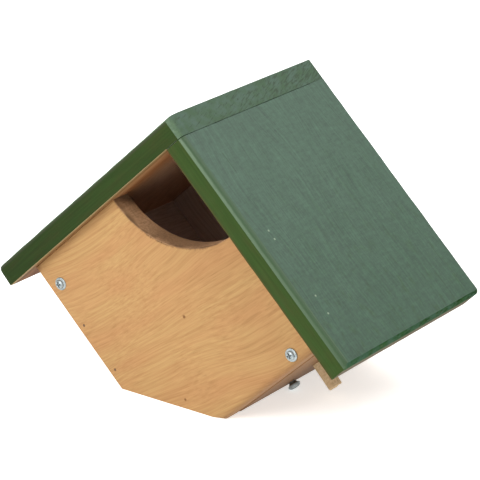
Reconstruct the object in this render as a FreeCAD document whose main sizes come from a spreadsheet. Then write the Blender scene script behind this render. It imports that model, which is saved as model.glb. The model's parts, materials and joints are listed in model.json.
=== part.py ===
import FreeCAD, Part
import os
import Sketcher

# Open-fronted bird nest box: a square house set on its corner under two lapped roof boards.
# Frame: +Z up, +Y from the opening towards the wall, origin under the middle of the flat bottom.
# Lengths are millimetres and angles are degrees.

SIZES = [
    ("roof_pitch", 43.7, "slope of both roof boards"),
    ("roof_board", 15, "thickness of the roof boards"),
    ("roof_depth", 154, "roof from front to back"),
    ("eave_reach", 170, "ridge to eave along the underside"),
    ("roof_arris", 3, "rounding of the roof's upper front and back edges"),
    ("panel_board", 15, "thickness of the front and back panels"),
    ("panel_side", 150, "upper edge of a panel, ridge to corner"),
    ("corner_cut", 54.5, "length cut from both lower edges for the flat bottom"),
    ("front_inset", 8, "front panel behind the roof's front edge"),
    ("opening_radius", 64, "entrance arc about the inner ridge line"),
    ("board_arris", 0.8, "easing of the bare wooden edges"),
    ("side_board", 15, "thickness of the left side board"),
    ("floor_thickness", 15, "thickness of the floor"),
    ("floor_recess", 9, "floor's underside above the flat bottom"),
    ("drain_diameter", 6, "drain holes in the floor"),
    ("drain_spread", 30, "drain holes before and behind the middle"),
    ("door_board", 15, "thickness of the cleaning door"),
    ("door_proud", 0.5, "door's face outside the panels' edges"),
    ("door_side_gap", 0.6, "door to each panel"),
    ("door_top_gap", 2.5, "door to the right roof board"),
    ("door_floor_gap", 0.5, "door to the floor's edge"),
    ("door_bottom_gap", 1, "door's lower end above the flat bottom"),
    ("pivot_drop", 20.6, "pivot screws below the roof, along the door"),
    ("pivot_clearance", 0.08, "pivot screw's radial play in a panel"),
    ("left_screw_drop", 19.1, "left screws below the roof, along the side"),
    ("left_screw_inset", 9.5, "left screws inside the panels' lower left edge"),
    ("shank_diameter", 4, "screw shank"),
    ("head_diameter", 8.5, "screw head"),
    ("head_height", 2.6, "screw head"),
    ("head_round", 1.5, "rounding of the screw head's rim"),
    ("head_gap", 0.3, "pivot screw's head to its panel"),
    ("screw_bite", 20, "screw's length in the board behind a panel"),
    ("screw_point", 5, "length of the screw's point"),
    ("sink_depth", 4, "depth of the seats for the back screws' heads"),
    ("sink_clearance", 0.75, "radial room round a sunk screw head"),
    ("latch_setback", 50, "latch screw behind the door's front edge"),
    ("latch_standoff", 2.2, "latch screw's head above the door"),
    ("latch_reach", 5, "latch screw's point inside the door's inner face"),
    ("latch_clearance", 0.08, "latch screw's radial play in the door"),
    ("latch_room", 1.2, "latch screw's room in the floor's edge"),
    ("peg_diameter", 9.5, "door's pull peg"),
    ("peg_reach", 19, "peg's length outside the door"),
    ("peg_depth", 10, "peg's length in the door"),
    ("peg_rise", 30.8, "peg above the side's lower edge, along the door"),
    ("peg_setback", 56, "peg behind the door's front edge"),
    ("pin_diameter", 1.6, "panel pins"),
    ("pin_length", 30, "panel pins"),
    ("roof_pin_start", 11.5, "first roof pin below the opening, along the roof"),
    ("roof_pin_step", 6.2, "second roof pin below the first"),
    ("roof_pin_end", 13.6, "last roof pin above a panel's side corner, along the roof"),
    ("roof_pin_last_step", 12.9, "last roof pin below the one before it"),
    ("ridge_pin_spread", 52, "outer ridge pins before and behind the middle"),
    ("side_pin_inset", 5, "side pins inside the panels' lower left edge"),
    ("side_pin_drop", 49, "upper side pin below the roof, along the side"),
    ("side_pin_end", 12, "lower side pin above the side's lower end"),
    ("floor_pin_spread", 12, "floor pins beside the middle"),
    ("hanger_diameter", 6, "hanging hole in the back panel"),
    ("hanger_drop", 40, "hanging hole below the inner ridge line"),
]

doc = FreeCAD.newDocument("nest_box")
sheet = doc.addObject("Spreadsheet::Sheet", "Sizes")
for row, (alias, number, meaning) in enumerate(SIZES, 1):
    sheet.set(f"A{row}", str(number))
    sheet.setAlias(f"A{row}", alias)
    sheet.set(f"B{row}", meaning)
doc.recompute()

# Expressions that several pieces share.
SIN = "sin(Sizes.roof_pitch)"
COS = "cos(Sizes.roof_pitch)"
TAN = "tan(Sizes.roof_pitch)"
APEX_SIN = "sin(2 * Sizes.roof_pitch)"
APEX_TAN = "tan(2 * Sizes.roof_pitch)"
LOWER_EDGE = "(Sizes.panel_side - Sizes.corner_cut)"
RIDGE_HEIGHT = f"((Sizes.panel_side + {LOWER_EDGE}) * {SIN})"
CORNER_HEIGHT = f"({LOWER_EDGE} * {SIN})"
CORNER_REACH = f"(Sizes.panel_side * {COS})"
BOTTOM_REACH = f"(Sizes.corner_cut * {COS})"
ROOF_FRONT = "(-Sizes.roof_depth / 2)"
WALL_FACE = "(Sizes.roof_depth / 2)"
PANEL_FRONT = f"({ROOF_FRONT} + Sizes.front_inset)"
INSIDE_FRONT = f"({PANEL_FRONT} + Sizes.panel_board)"
INSIDE_BACK = f"({WALL_FACE} - Sizes.panel_board)"
INSIDE_DEPTH = f"({INSIDE_BACK} - {INSIDE_FRONT})"
INSIDE_MIDDLE = f"(({INSIDE_FRONT} + {INSIDE_BACK}) / 2)"
PANEL_MIDDLES = (f"{PANEL_FRONT} + Sizes.panel_board / 2", f"{WALL_FACE} - Sizes.panel_board / 2")
SUNK_SEAT = f"({WALL_FACE} - Sizes.sink_depth)"
DOOR_FRONT = f"({INSIDE_FRONT} + Sizes.door_side_gap)"
DOOR_INNER = "(Sizes.door_board - Sizes.door_proud)"
FLOOR_TOP = "(Sizes.floor_recess + Sizes.floor_thickness)"
FLOOR_MIDDLE = "(Sizes.floor_recess + Sizes.floor_thickness / 2)"
FLOOR_TO_DOOR_FACE = f"({DOOR_INNER} + Sizes.door_floor_gap)"

# Tilted frames: origin x, origin z and the turn about +Y. Across a roof board is outwards, and
# across a side of the house is inwards.
UP_TO_RIGHT = "-Sizes.roof_pitch"
DOWN_TO_RIGHT = "Sizes.roof_pitch"
LEFT_SLOPE = ("0", RIDGE_HEIGHT, UP_TO_RIGHT)
RIGHT_SLOPE = ("0", RIDGE_HEIGHT, DOWN_TO_RIGHT)
LEFT_SIDE = (f"-{CORNER_REACH}", CORNER_HEIGHT, DOWN_TO_RIGHT)
DOOR_SIDE = (CORNER_REACH, CORNER_HEIGHT, UP_TO_RIGHT)
OUT_OF_DOOR = "180 - Sizes.roof_pitch"

# Where the fasteners stand in those frames, along and across.
LEFT_SCREW_SPOT = (LEFT_SIDE, "Sizes.left_screw_drop", "Sizes.left_screw_inset")
PIVOT_SPOT = (DOOR_SIDE, "-Sizes.pivot_drop", f"{DOOR_INNER} - Sizes.door_board / 2")
LATCH_ALONG = f"({FLOOR_MIDDLE} - {CORNER_HEIGHT} - {FLOOR_TO_DOOR_FACE} * {COS}) / {SIN}"
LATCH_Y = f"{DOOR_FRONT} + Sizes.latch_setback"


def value(expression):
    """Number that an expression gives now."""
    return float(sheet.evalExpression(expression))


def same(one, other):
    """Whether two lengths agree to a fitting tolerance."""
    return abs(one - other) < 1e-4


def world(frame, along, across):
    """Expressions for x and z of a point given along and across a tilted frame."""
    origin_x, origin_z, turn = frame
    lean, rise = ("-", "+") if turn == UP_TO_RIGHT else ("+", "-")
    x = f"{origin_x} + ({along}) * {COS} {lean} ({across}) * {SIN}"
    z = f"{origin_z} {rise} ({along}) * {SIN} + ({across}) * {COS}"
    return x, z


def place(piece, x, y, z, axis="0; 1; 0", turn="0"):
    """Bind a piece's placement to expressions."""
    where = f"vector({x}; {y}; {z})"
    piece.setExpression("Placement", f"placement({where}; rotation(vector({axis}); {turn}))")


def origin_part(body, role):
    """A plane or axis of the body's own origin."""
    return next(part for part in body.Origin.OriginFeatures if part.Role == role)


def bind(sketch, constraint, expression):
    """Add a dimension to a sketch and bind it to an expression."""
    number = sketch.addConstraint(constraint)
    sketch.setExpression(f"Constraints[{number}]", expression)


def fix_point(sketch, curve, end, x, z):
    """Bind a point of a sketch curve to two expressions from the sketch's origin."""
    for kind, axis_line, expression in (("DistanceX", -2, x), ("DistanceY", -1, z)):
        if expression == "0":
            sketch.addConstraint(Sketcher.Constraint("PointOnObject", curve, end, axis_line))
        else:
            distance = Sketcher.Constraint(kind, -1, 1, curve, end, value(expression))
            bind(sketch, distance, expression)


def new_sketch(body, name):
    """Empty sketch on the body's upright XZ plane."""
    sketch = body.newObject("Sketcher::SketchObject", name)
    sketch.AttachmentSupport = [(origin_part(body, "XZ_Plane"), "")]
    sketch.MapMode = "FlatFace"
    return sketch


def outline(body, corners):
    """Closed sketch through corners given as pairs of expressions."""
    sketch = new_sketch(body, f"{body.Name}_outline")
    points = [FreeCAD.Vector(value(x), value(z), 0) for x, z in corners]
    count = len(points)
    for line, point in enumerate(points):
        sketch.addGeometry(Part.LineSegment(point, points[(line + 1) % count]))
    for line in range(count):
        sketch.addConstraint(Sketcher.Constraint("Coincident", line, 2, (line + 1) % count, 1))
    for line, (x, z) in enumerate(corners):
        fix_point(sketch, line, 1, x, z)
    return sketch


def board(name, corners, depth):
    """Body padded from its outline towards +Y."""
    body = doc.addObject("PartDesign::Body", name)
    pad = body.newObject("PartDesign::Pad", f"{name}_pad")
    pad.Profile = outline(body, corners)
    pad.Reversed = True
    pad.setExpression("Length", depth)
    doc.recompute()
    return body


def ease(body, radius, chosen):
    """Round the edges of a body whose end points pass a test."""
    base = body.Tip
    names = []
    for number, edge in enumerate(base.Shape.Edges, 1):
        if chosen([vertex.Point for vertex in edge.Vertexes]):
            names.append(f"Edge{number}")
    fillet = body.newObject("PartDesign::Fillet", f"{body.Name}_eased")
    fillet.Base = (base, names)
    fillet.setExpression("Radius", radius)
    doc.recompute()


def cylinder(name, diameter, length):
    """Cylinder from its own origin up its own +Z."""
    piece = doc.addObject("Part::Cylinder", name)
    piece.setExpression("Radius", f"({diameter}) / 2")
    piece.setExpression("Height", length)
    return piece


def cylinder_along_y(name, diameter, spot, y, length):
    """Cylinder that runs towards +Y from y."""
    piece = cylinder(name, diameter, length)
    x, z = spot
    place(piece, x, y, z, axis="1; 0; 0", turn="-90")
    return piece


def cylinder_out_of_door(name, diameter, along, y, across, length):
    """Cylinder square to the door that runs outwards from a depth in it."""
    piece = cylinder(name, diameter, length)
    x, z = world(DOOR_SIDE, along, across)
    place(piece, x, y, z, turn=OUT_OF_DOOR)
    return piece


def group(name, pieces):
    """Several separate solids as one object."""
    compound = doc.addObject("Part::Compound", name)
    compound.Links = pieces
    return compound


def bored(name, blank, tools):
    """A board with its fasteners and holes taken out."""
    cut = doc.addObject("Part::Cut", name)
    cut.Base = blank
    cut.Tool = group(f"{name}_holes", tools)
    return cut


def screw(name, length):
    """Pan head screw with its seat at its own origin and its head towards its own +Z."""
    body = doc.addObject("PartDesign::Body", name)
    head = "Sizes.head_diameter / 2"
    shank = "Sizes.shank_diameter / 2"
    corners = [
        ("0", "Sizes.head_height"),
        (head, "Sizes.head_height"),
        (head, "0"),
        (shank, "0"),
        (shank, f"Sizes.screw_point - ({length})"),
        ("0", f"-({length})"),
    ]
    turned = body.newObject("PartDesign::Revolution", f"{name}_turned")
    turned.Profile = outline(body, corners)
    turned.ReferenceAxis = (origin_part(body, "Z_Axis"), [""])
    turned.Angle = 360
    doc.recompute()
    head_top = value("Sizes.head_height")
    ease(body, "Sizes.head_round", lambda ends: all(same(point.z, head_top) for point in ends))
    return body


def front_screw(name, spot, lift, length):
    """Screw whose head stands on the front panel, lifted off it."""
    piece = screw(name, length)
    x, z = world(*spot)
    place(piece, x, f"{PANEL_FRONT} - {lift}", z, axis="1; 0; 0", turn="90")
    return piece


def back_screw(name, spot, lift, length):
    """Screw whose head is sunk in the back panel, lifted off its seat."""
    piece = screw(name, length)
    x, z = world(*spot)
    place(piece, x, f"{SUNK_SEAT} + {lift}", z, axis="1; 0; 0", turn="-90")
    return piece


def roof_pin(name, frame, along, y):
    """Pin square to a roof board with its head flush with the board's top."""
    piece = cylinder(name, "Sizes.pin_diameter", "Sizes.pin_length")
    x, z = world(frame, along, "Sizes.roof_board - Sizes.pin_length")
    place(piece, x, y, z, turn=frame[2])
    return piece


def roof_pins(name, frame, side):
    """Pins through one roof board into the upper edges of both panels."""
    first = "Sizes.opening_radius + Sizes.roof_pin_start"
    last = "Sizes.panel_side - Sizes.roof_pin_end"
    spots = (
        first, f"{first} + Sizes.roof_pin_step", f"{last} - Sizes.roof_pin_last_step", last)
    pins = []
    for panel, y in enumerate(PANEL_MIDDLES):
        for spot, along in enumerate(spots):
            pins.append(roof_pin(f"{name}_{panel}{spot}", frame, f"{side}({along})", y))
    return group(name, pins)


def ridge_pin_row(name):
    """Pins through the left roof board into the upper end of the right one."""
    pins = []
    for number, step in enumerate((-1, 0, 1)):
        y = f"{step} * Sizes.ridge_pin_spread"
        pins.append(roof_pin(f"{name}_{number}", LEFT_SLOPE, "Sizes.roof_board / 2", y))
    return group(name, pins)


def panel_pins(name, y):
    """Pins from y towards +Y that join one panel to the side board and the floor."""
    drops = ("Sizes.side_pin_drop", f"{LOWER_EDGE} - Sizes.side_pin_end")
    spots = [world(LEFT_SIDE, drop, "Sizes.side_pin_inset") for drop in drops]
    for side in ("-", ""):
        spots.append((f"{side}Sizes.floor_pin_spread", FLOOR_MIDDLE))
    pins = []
    for number, spot in enumerate(spots):
        pin = f"{name}_{number}"
        pins.append(cylinder_along_y(pin, "Sizes.pin_diameter", spot, y, "Sizes.pin_length"))
    return group(name, pins)


def left_roof_blank():
    """Roof board whose upper end lies flush with the right board's top."""
    end_low = f"Sizes.roof_board / {APEX_SIN}"
    end_high = f"Sizes.roof_board * {TAN}"
    corners = [
        ("-Sizes.eave_reach", "0"),
        (end_low, "0"),
        (end_high, "Sizes.roof_board"),
        ("-Sizes.eave_reach", "Sizes.roof_board"),
    ]
    body = board("left_roof_blank", corners, "Sizes.roof_depth")
    top = value("Sizes.roof_board")
    near_end = min(value(end_low), value(end_high))

    def upper_edges(ends):
        runs_along = same(ends[0].y, ends[-1].y)
        on_top = all(same(point.z, top) for point in ends)
        on_end = all(point.x > near_end - 1e-4 for point in ends)
        return runs_along and (on_top or on_end)

    ease(body, "Sizes.roof_arris", upper_edges)
    place(body, "0", ROOF_FRONT, RIDGE_HEIGHT, turn=UP_TO_RIGHT)
    return body


def right_roof_blank():
    """Roof board whose upper end butts against the left board's underside."""
    corners = [
        ("0", "0"),
        ("Sizes.eave_reach", "0"),
        ("Sizes.eave_reach", "Sizes.roof_board"),
        (f"Sizes.roof_board / {APEX_TAN}", "Sizes.roof_board"),
    ]
    body = board("right_roof_blank", corners, "Sizes.roof_depth")
    top = value("Sizes.roof_board")

    def upper_edges(ends):
        return same(ends[0].y, ends[-1].y) and all(same(point.z, top) for point in ends)

    ease(body, "Sizes.roof_arris", upper_edges)
    place(body, "0", ROOF_FRONT, RIDGE_HEIGHT, turn=DOWN_TO_RIGHT)
    return body


def panel_blank(name, y):
    """Square panel on its corner with the lower corner cut flat."""
    corners = [
        ("0", RIDGE_HEIGHT),
        (f"-{CORNER_REACH}", CORNER_HEIGHT),
        (f"-{BOTTOM_REACH}", "0"),
        (BOTTOM_REACH, "0"),
        (CORNER_REACH, CORNER_HEIGHT),
    ]
    body = board(name, corners, "Sizes.panel_board")
    place(body, "0", y, "0")
    return body


def front_panel_blank():
    """Panel with the entrance arc cut out under the ridge and its front edges eased."""
    body = panel_blank("front_panel_blank", PANEL_FRONT)
    whole = body.Shape.Volume
    sketch = new_sketch(body, "entrance_circle")
    centre = FreeCAD.Vector(0, value(RIDGE_HEIGHT), 0)
    radius = value("Sizes.opening_radius")
    circle = sketch.addGeometry(Part.Circle(centre, FreeCAD.Vector(0, 0, 1), radius))
    fix_point(sketch, circle, 3, "0", RIDGE_HEIGHT)
    bind(sketch, Sketcher.Constraint("Radius", circle, radius), "Sizes.opening_radius")
    entrance = body.newObject("PartDesign::Pocket", "entrance_cut")
    entrance.Profile = sketch
    entrance.Type = "ThroughAll"
    doc.recompute()
    if body.Shape.Volume >= whole:
        raise RuntimeError("the entrance cuts nothing out of the front panel")
    ease(body, "Sizes.board_arris", lambda ends: all(same(point.y, 0) for point in ends))
    return body


def left_side_blank():
    """Board between the panels, with bevelled ends under the roof and at the flat bottom."""
    corners = [
        ("0", "0"),
        (LOWER_EDGE, "0"),
        (f"{LOWER_EDGE} + Sizes.side_board / {TAN}", "Sizes.side_board"),
        (f"Sizes.side_board / {APEX_TAN}", "Sizes.side_board"),
    ]
    body = board("left_side_blank", corners, INSIDE_DEPTH)
    ease(body, "Sizes.board_arris", lambda ends: all(same(point.z, 0) for point in ends))
    origin_x, origin_z, turn = LEFT_SIDE
    place(body, origin_x, INSIDE_FRONT, origin_z, turn=turn)
    return body


def floor_blank():
    """Level board with bevelled edges along the side board and the door."""
    def reach(wall, height):
        return f"({BOTTOM_REACH} + {height} / {TAN} - {wall} / {SIN})"

    corners = [
        (f"-{reach('Sizes.side_board', 'Sizes.floor_recess')}", "Sizes.floor_recess"),
        (reach(FLOOR_TO_DOOR_FACE, "Sizes.floor_recess"), "Sizes.floor_recess"),
        (reach(FLOOR_TO_DOOR_FACE, FLOOR_TOP), FLOOR_TOP),
        (f"-{reach('Sizes.side_board', FLOOR_TOP)}", FLOOR_TOP),
    ]
    body = board("floor_blank", corners, INSIDE_DEPTH)
    place(body, "0", INSIDE_FRONT, "0")
    return body


def door_blank():
    """Board that hangs between the panels on the pivot screws."""
    def lower_end(across):
        return f"Sizes.door_bottom_gap / {SIN} - {LOWER_EDGE} - ({across}) / {TAN}"

    corners = [
        ("-Sizes.door_top_gap", "-Sizes.door_proud"),
        ("-Sizes.door_top_gap", DOOR_INNER),
        (lower_end(DOOR_INNER), DOOR_INNER),
        (lower_end("-Sizes.door_proud"), "-Sizes.door_proud"),
    ]
    body = board("door_blank", corners, f"{INSIDE_DEPTH} - 2 * Sizes.door_side_gap")
    face = value("-Sizes.door_proud")
    ease(body, "Sizes.board_arris", lambda ends: all(same(point.z, face) for point in ends))
    origin_x, origin_z, turn = DOOR_SIDE
    place(body, origin_x, DOOR_FRONT, origin_z, turn=turn)
    return body


def drain_holes():
    """Holes through the floor before and behind its middle."""
    holes = []
    for side in ("-", "+"):
        name = "drain_front" if side == "-" else "drain_back"
        hole = cylinder(name, "Sizes.drain_diameter", f"{FLOOR_TOP} + Sizes.floor_recess")
        place(hole, "0", f"{INSIDE_MIDDLE} {side} Sizes.drain_spread", "0")
        holes.append(hole)
    return holes


# Fasteners. The pivot screws turn with the door and run in the panels.
left_front_screw = front_screw(
    "left_front_screw", LEFT_SCREW_SPOT, "0", "Sizes.panel_board + Sizes.screw_bite")
left_back_screw = back_screw(
    "left_back_screw", LEFT_SCREW_SPOT, "0",
    "Sizes.panel_board - Sizes.sink_depth + Sizes.screw_bite")
PIVOT_EXTRA = "Sizes.head_gap + Sizes.door_side_gap + Sizes.screw_bite"
front_pivot_screw = front_screw(
    "front_pivot_screw", PIVOT_SPOT, "Sizes.head_gap", f"Sizes.panel_board + {PIVOT_EXTRA}")
back_pivot_screw = back_screw(
    "back_pivot_screw", PIVOT_SPOT, "Sizes.head_gap",
    f"Sizes.panel_board - Sizes.sink_depth + {PIVOT_EXTRA}")
door_latch_screw = screw(
    "door_latch_screw", "Sizes.latch_standoff + Sizes.door_board + Sizes.latch_reach")
latch_x, latch_z = world(DOOR_SIDE, LATCH_ALONG, "-Sizes.door_proud - Sizes.latch_standoff")
place(door_latch_screw, latch_x, LATCH_Y, latch_z, turn=OUT_OF_DOOR)
door_pull_peg = cylinder_out_of_door(
    "door_pull_peg", "Sizes.peg_diameter", f"Sizes.peg_rise - {LOWER_EDGE}",
    f"{DOOR_FRONT} + Sizes.peg_setback", "Sizes.peg_depth - Sizes.door_proud",
    "Sizes.peg_depth + Sizes.peg_reach")
front_panel_pins = panel_pins("front_panel_pins", PANEL_FRONT)
back_panel_pins = panel_pins("back_panel_pins", f"{WALL_FACE} - Sizes.pin_length")
left_roof_pins = roof_pins("left_roof_pins", LEFT_SLOPE, "-")
right_roof_pins = roof_pins("right_roof_pins", RIGHT_SLOPE, "")
ridge_pins = ridge_pin_row("ridge_pins")

# Holes that stay open or leave play.
PIVOT_HOLE = "Sizes.shank_diameter + 2 * Sizes.pivot_clearance"
SINK_HOLE = "Sizes.head_diameter + 2 * Sizes.sink_clearance"
SINK_LENGTH = "Sizes.sink_depth + Sizes.sink_clearance"
front_pivot_hole = cylinder_along_y(
    "front_pivot_hole", PIVOT_HOLE, world(*PIVOT_SPOT), f"{PANEL_FRONT} - Sizes.head_gap",
    "Sizes.head_gap + Sizes.panel_board + Sizes.door_side_gap")
back_pivot_hole = cylinder_along_y(
    "back_pivot_hole", PIVOT_HOLE, world(*PIVOT_SPOT), f"{INSIDE_BACK} - Sizes.door_side_gap",
    "Sizes.door_side_gap + Sizes.panel_board")
back_pivot_sink = cylinder_along_y(
    "back_pivot_sink", SINK_HOLE, world(*PIVOT_SPOT), SUNK_SEAT, SINK_LENGTH)
left_back_sink = cylinder_along_y(
    "left_back_sink", SINK_HOLE, world(*LEFT_SCREW_SPOT), SUNK_SEAT, SINK_LENGTH)
hanging_hole = cylinder_along_y(
    "hanging_hole", "Sizes.hanger_diameter", ("0", f"{RIDGE_HEIGHT} - Sizes.hanger_drop"),
    f"{INSIDE_BACK} - Sizes.hanger_diameter", "Sizes.panel_board + 2 * Sizes.hanger_diameter")
latch_hole = cylinder_out_of_door(
    "latch_hole", "Sizes.shank_diameter + 2 * Sizes.latch_clearance", LATCH_ALONG, LATCH_Y,
    f"{DOOR_INNER} + Sizes.latch_reach", "Sizes.door_board + 2 * Sizes.latch_reach")
latch_pocket = cylinder_out_of_door(
    "latch_pocket", "Sizes.shank_diameter + 2 * Sizes.latch_room", LATCH_ALONG, LATCH_Y,
    f"{DOOR_INNER} + Sizes.latch_reach + Sizes.latch_room", "Sizes.latch_reach + Sizes.latch_room")

# Boards, with their fasteners and holes taken out.
boards = [
    bored("left_roof_board", left_roof_blank(), [left_roof_pins, ridge_pins]),
    bored("right_roof_board", right_roof_blank(), [right_roof_pins, ridge_pins]),
    bored("front_panel", front_panel_blank(), [
        left_front_screw, front_pivot_hole, front_panel_pins, left_roof_pins, right_roof_pins]),
    bored("back_panel", panel_blank("back_panel_blank", INSIDE_BACK), [
        left_back_screw, left_back_sink, back_pivot_hole, back_pivot_sink, hanging_hole,
        back_panel_pins, left_roof_pins, right_roof_pins]),
    bored("left_side_board", left_side_blank(), [
        left_front_screw, left_back_screw, front_panel_pins, back_panel_pins]),
    bored("floor_board", floor_blank(), [
        front_panel_pins, back_panel_pins, latch_pocket] + drain_holes()),
    bored("cleaning_door", door_blank(), [
        front_pivot_screw, back_pivot_screw, door_pull_peg, latch_hole]),
]
fasteners = [
    left_front_screw, left_back_screw, front_pivot_screw, back_pivot_screw, door_latch_screw,
    door_pull_peg, front_panel_pins, back_panel_pins, left_roof_pins, right_roof_pins, ridge_pins,
]
doc.recompute()

for item in doc.Objects:
    if "Invalid" in item.State or "Error" in item.State:
        raise RuntimeError(f"{item.Label} failed: {item.State}")
for node in boards + fasteners:
    if node.Shape.isNull() or not node.Shape.isValid() or not node.Shape.Solids:
        raise RuntimeError(f"{node.Label} has no valid solid")
os.makedirs("parts", exist_ok=True)
for node in boards + fasteners:
    node.Shape.exportStep(f"parts/{node.Label}.step")
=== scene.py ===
"""Open-fronted bird nest box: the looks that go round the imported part.

Laid out as an add-on. Property groups hold the sizes and colours, one operator makes each group of
pieces, and main() calls the operators in order. Meshes are in metres, in the frame of the part.
"""

import json
import math
from types import SimpleNamespace

import bmesh
import bpy
from bpy.props import FloatProperty, FloatVectorProperty, IntProperty, PointerProperty
from bpy.types import Operator, Panel, PropertyGroup
from mathutils import Matrix, Vector, noise


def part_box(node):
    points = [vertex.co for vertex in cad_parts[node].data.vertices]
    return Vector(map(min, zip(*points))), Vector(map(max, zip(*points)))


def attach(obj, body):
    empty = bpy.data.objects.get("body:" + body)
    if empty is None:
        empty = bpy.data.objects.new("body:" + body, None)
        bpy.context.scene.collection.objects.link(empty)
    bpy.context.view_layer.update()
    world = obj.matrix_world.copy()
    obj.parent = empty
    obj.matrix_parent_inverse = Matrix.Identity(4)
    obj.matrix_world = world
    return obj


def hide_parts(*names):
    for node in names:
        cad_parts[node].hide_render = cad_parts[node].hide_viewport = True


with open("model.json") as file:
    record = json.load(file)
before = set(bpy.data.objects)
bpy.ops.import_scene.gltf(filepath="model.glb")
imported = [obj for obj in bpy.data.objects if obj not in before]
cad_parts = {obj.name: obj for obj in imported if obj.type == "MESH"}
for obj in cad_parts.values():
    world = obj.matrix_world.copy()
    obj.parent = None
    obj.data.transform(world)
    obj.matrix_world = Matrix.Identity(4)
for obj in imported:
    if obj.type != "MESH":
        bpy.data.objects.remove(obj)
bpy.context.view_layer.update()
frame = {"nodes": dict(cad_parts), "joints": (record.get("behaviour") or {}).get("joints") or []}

bl_info = {
    "name": "Bird nest box",
    "version": (1, 0, 0),
    "blender": (4, 5, 0),
    "location": "View3D > Sidebar > Nest box",
    "description": "Dresses the packed nest box with painted boards, oiled wood and zinc screws",
    "category": "Object",
}

MM = 0.001

# Directions of the house, read from the way the latch screw draws out of the door.
LATCH_AXIS = Vector(next(j["axis"] for j in frame["joints"] if j["name"] == "latch_draw"))
PITCH = math.atan2(LATCH_AXIS.x, -LATCH_AXIS.z)
UP_RIGHT = Vector((math.cos(PITCH), 0, math.sin(PITCH)))
DOWN_RIGHT = Vector((math.cos(PITCH), 0, -math.sin(PITCH)))
LEFT_OUT = Vector((-math.sin(PITCH), 0, math.cos(PITCH)))
RIGHT_OUT = Vector((math.sin(PITCH), 0, math.cos(PITCH)))
FRONT = Vector((0, -1, 0))
WALL = Vector((0, 1, 0))

# Main measures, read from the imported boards.
RIDGE = Vector((0, 0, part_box("back_panel")[1].z))
ROOF_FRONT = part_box("right_roof_board")[0].y
ROOF_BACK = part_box("right_roof_board")[1].y
ROOF_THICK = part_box("left_roof_board")[1].x * math.sin(2 * PITCH) / math.cos(PITCH)
ROOF_REACH = (RIDGE.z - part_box("left_roof_board")[0].z) / math.sin(PITCH)
LAP = RIDGE + UP_RIGHT * ROOF_THICK / math.sin(2 * PITCH)
APEX = RIDGE + Vector((0, 0, ROOF_THICK / math.cos(PITCH)))
PANEL_LOW, PANEL_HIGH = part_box("front_panel")
PANEL_SIDE = PANEL_HIGH.x / math.cos(PITCH)
OPENING = (RIDGE.z - PANEL_HIGH.z) / math.sin(PITCH)
CHAMBER = Vector((0, (PANEL_HIGH.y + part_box("back_panel")[0].y) / 2, RIDGE.z / 2))


def linear(colour):
    """Linear red, green and blue of an sRGB hex colour."""
    parts = [int(colour[i:i + 2], 16) / 255 for i in (1, 3, 5)]
    return tuple(p / 12.92 if p <= 0.04045 else ((p + 0.055) / 1.055) ** 2.4 for p in parts)


def opaque(colour):
    """A colour with the alpha that a node's socket takes."""
    return (*colour[:3], 1.0)


class RoofSettings(PropertyGroup):
    """Painted roof boards."""

    top: FloatVectorProperty(
        name="Top paint", description="Weathered green, plainest towards the eaves", subtype="COLOR",
        default=linear("#2b4733"))
    # Grey green of the top's bloom: partly chalk and partly painted sheen, strongest towards the ridge.
    # It also colours pale blotches on the sawn ends.
    chalk_and_sheen: FloatVectorProperty(
        name="Chalk bloom", description="Chalky grey green, most towards the ridge", subtype="COLOR",
        default=linear("#37503f"))
    edge: FloatVectorProperty(
        name="Edge paint", description="Fresh green on the long edges", subtype="COLOR",
        default=linear("#2d401a"))
    edge_thin: FloatVectorProperty(
        name="Thin edge paint", description="Edge paint where wood shows through", subtype="COLOR",
        default=linear("#353c1b"))
    end: FloatVectorProperty(
        name="End grain paint", description="Paint sunk into the sawn ends", subtype="COLOR",
        default=linear("#2b482a"))
    end_dark: FloatVectorProperty(
        name="Saw marks", description="Dark lines across the sawn ends", subtype="COLOR",
        default=linear("#1c3318"))
    dust: FloatVectorProperty(
        name="Dusty edge", description="Greyed paint along the left board's upper edge",
        subtype="COLOR", default=linear("#3d3f33"))
    # Behind the front arris this darker green is painted shade, where the round reflects less sheen; on
    # the top it also colours darker blots towards the eave.
    band: FloatVectorProperty(
        name="Front band", description="Thicker paint behind the front arris", subtype="COLOR",
        default=linear("#26411c"))
    # Partly rubbed paint and partly a painted highlight on the rounded front arrises.
    worn: FloatVectorProperty(
        name="Worn arris", description="Rubbed paint on the upper edges", subtype="COLOR",
        default=linear("#4b6146"))
    bare: FloatVectorProperty(
        name="Bare eave", description="Grey wood where the eave's lower edge lost its paint",
        subtype="COLOR", default=linear("#655c4f"))
    brown: FloatVectorProperty(
        name="Brown line", description="Paint gone thin along the right board's front lower edge",
        subtype="COLOR", default=linear("#43391d"))
    # Bare wood, paler as painted light bounced up from the panel below.
    bare_and_lit_arris: FloatVectorProperty(
        name="Bare arris", description="Pale wood along the left board's front lower edge",
        subtype="COLOR", default=linear("#8f7d57"))
    arris: FloatProperty(
        name="Arris", description="Rounding of the eaves, the ridge strip and the right board",
        unit="LENGTH", default=3 * MM)
    ease: FloatProperty(
        name="Ease", description="Rounding of the other edges", unit="LENGTH", default=0.6 * MM)
    joint_gap: FloatProperty(
        name="Ridge joint", description="Open line between the boards", unit="LENGTH",
        default=0.3 * MM)
    plane_width: FloatProperty(
        name="Planed width", description="Width of the left board's planed front edge",
        unit="LENGTH", default=12 * MM)
    plane_depth: FloatProperty(
        name="Planed depth", description="Depth of the left board's planed front edge",
        unit="LENGTH", default=1.5 * MM)
    waver: FloatProperty(
        name="Waver", description="Unevenness of a worn edge", unit="LENGTH", default=0.22 * MM)


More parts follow.
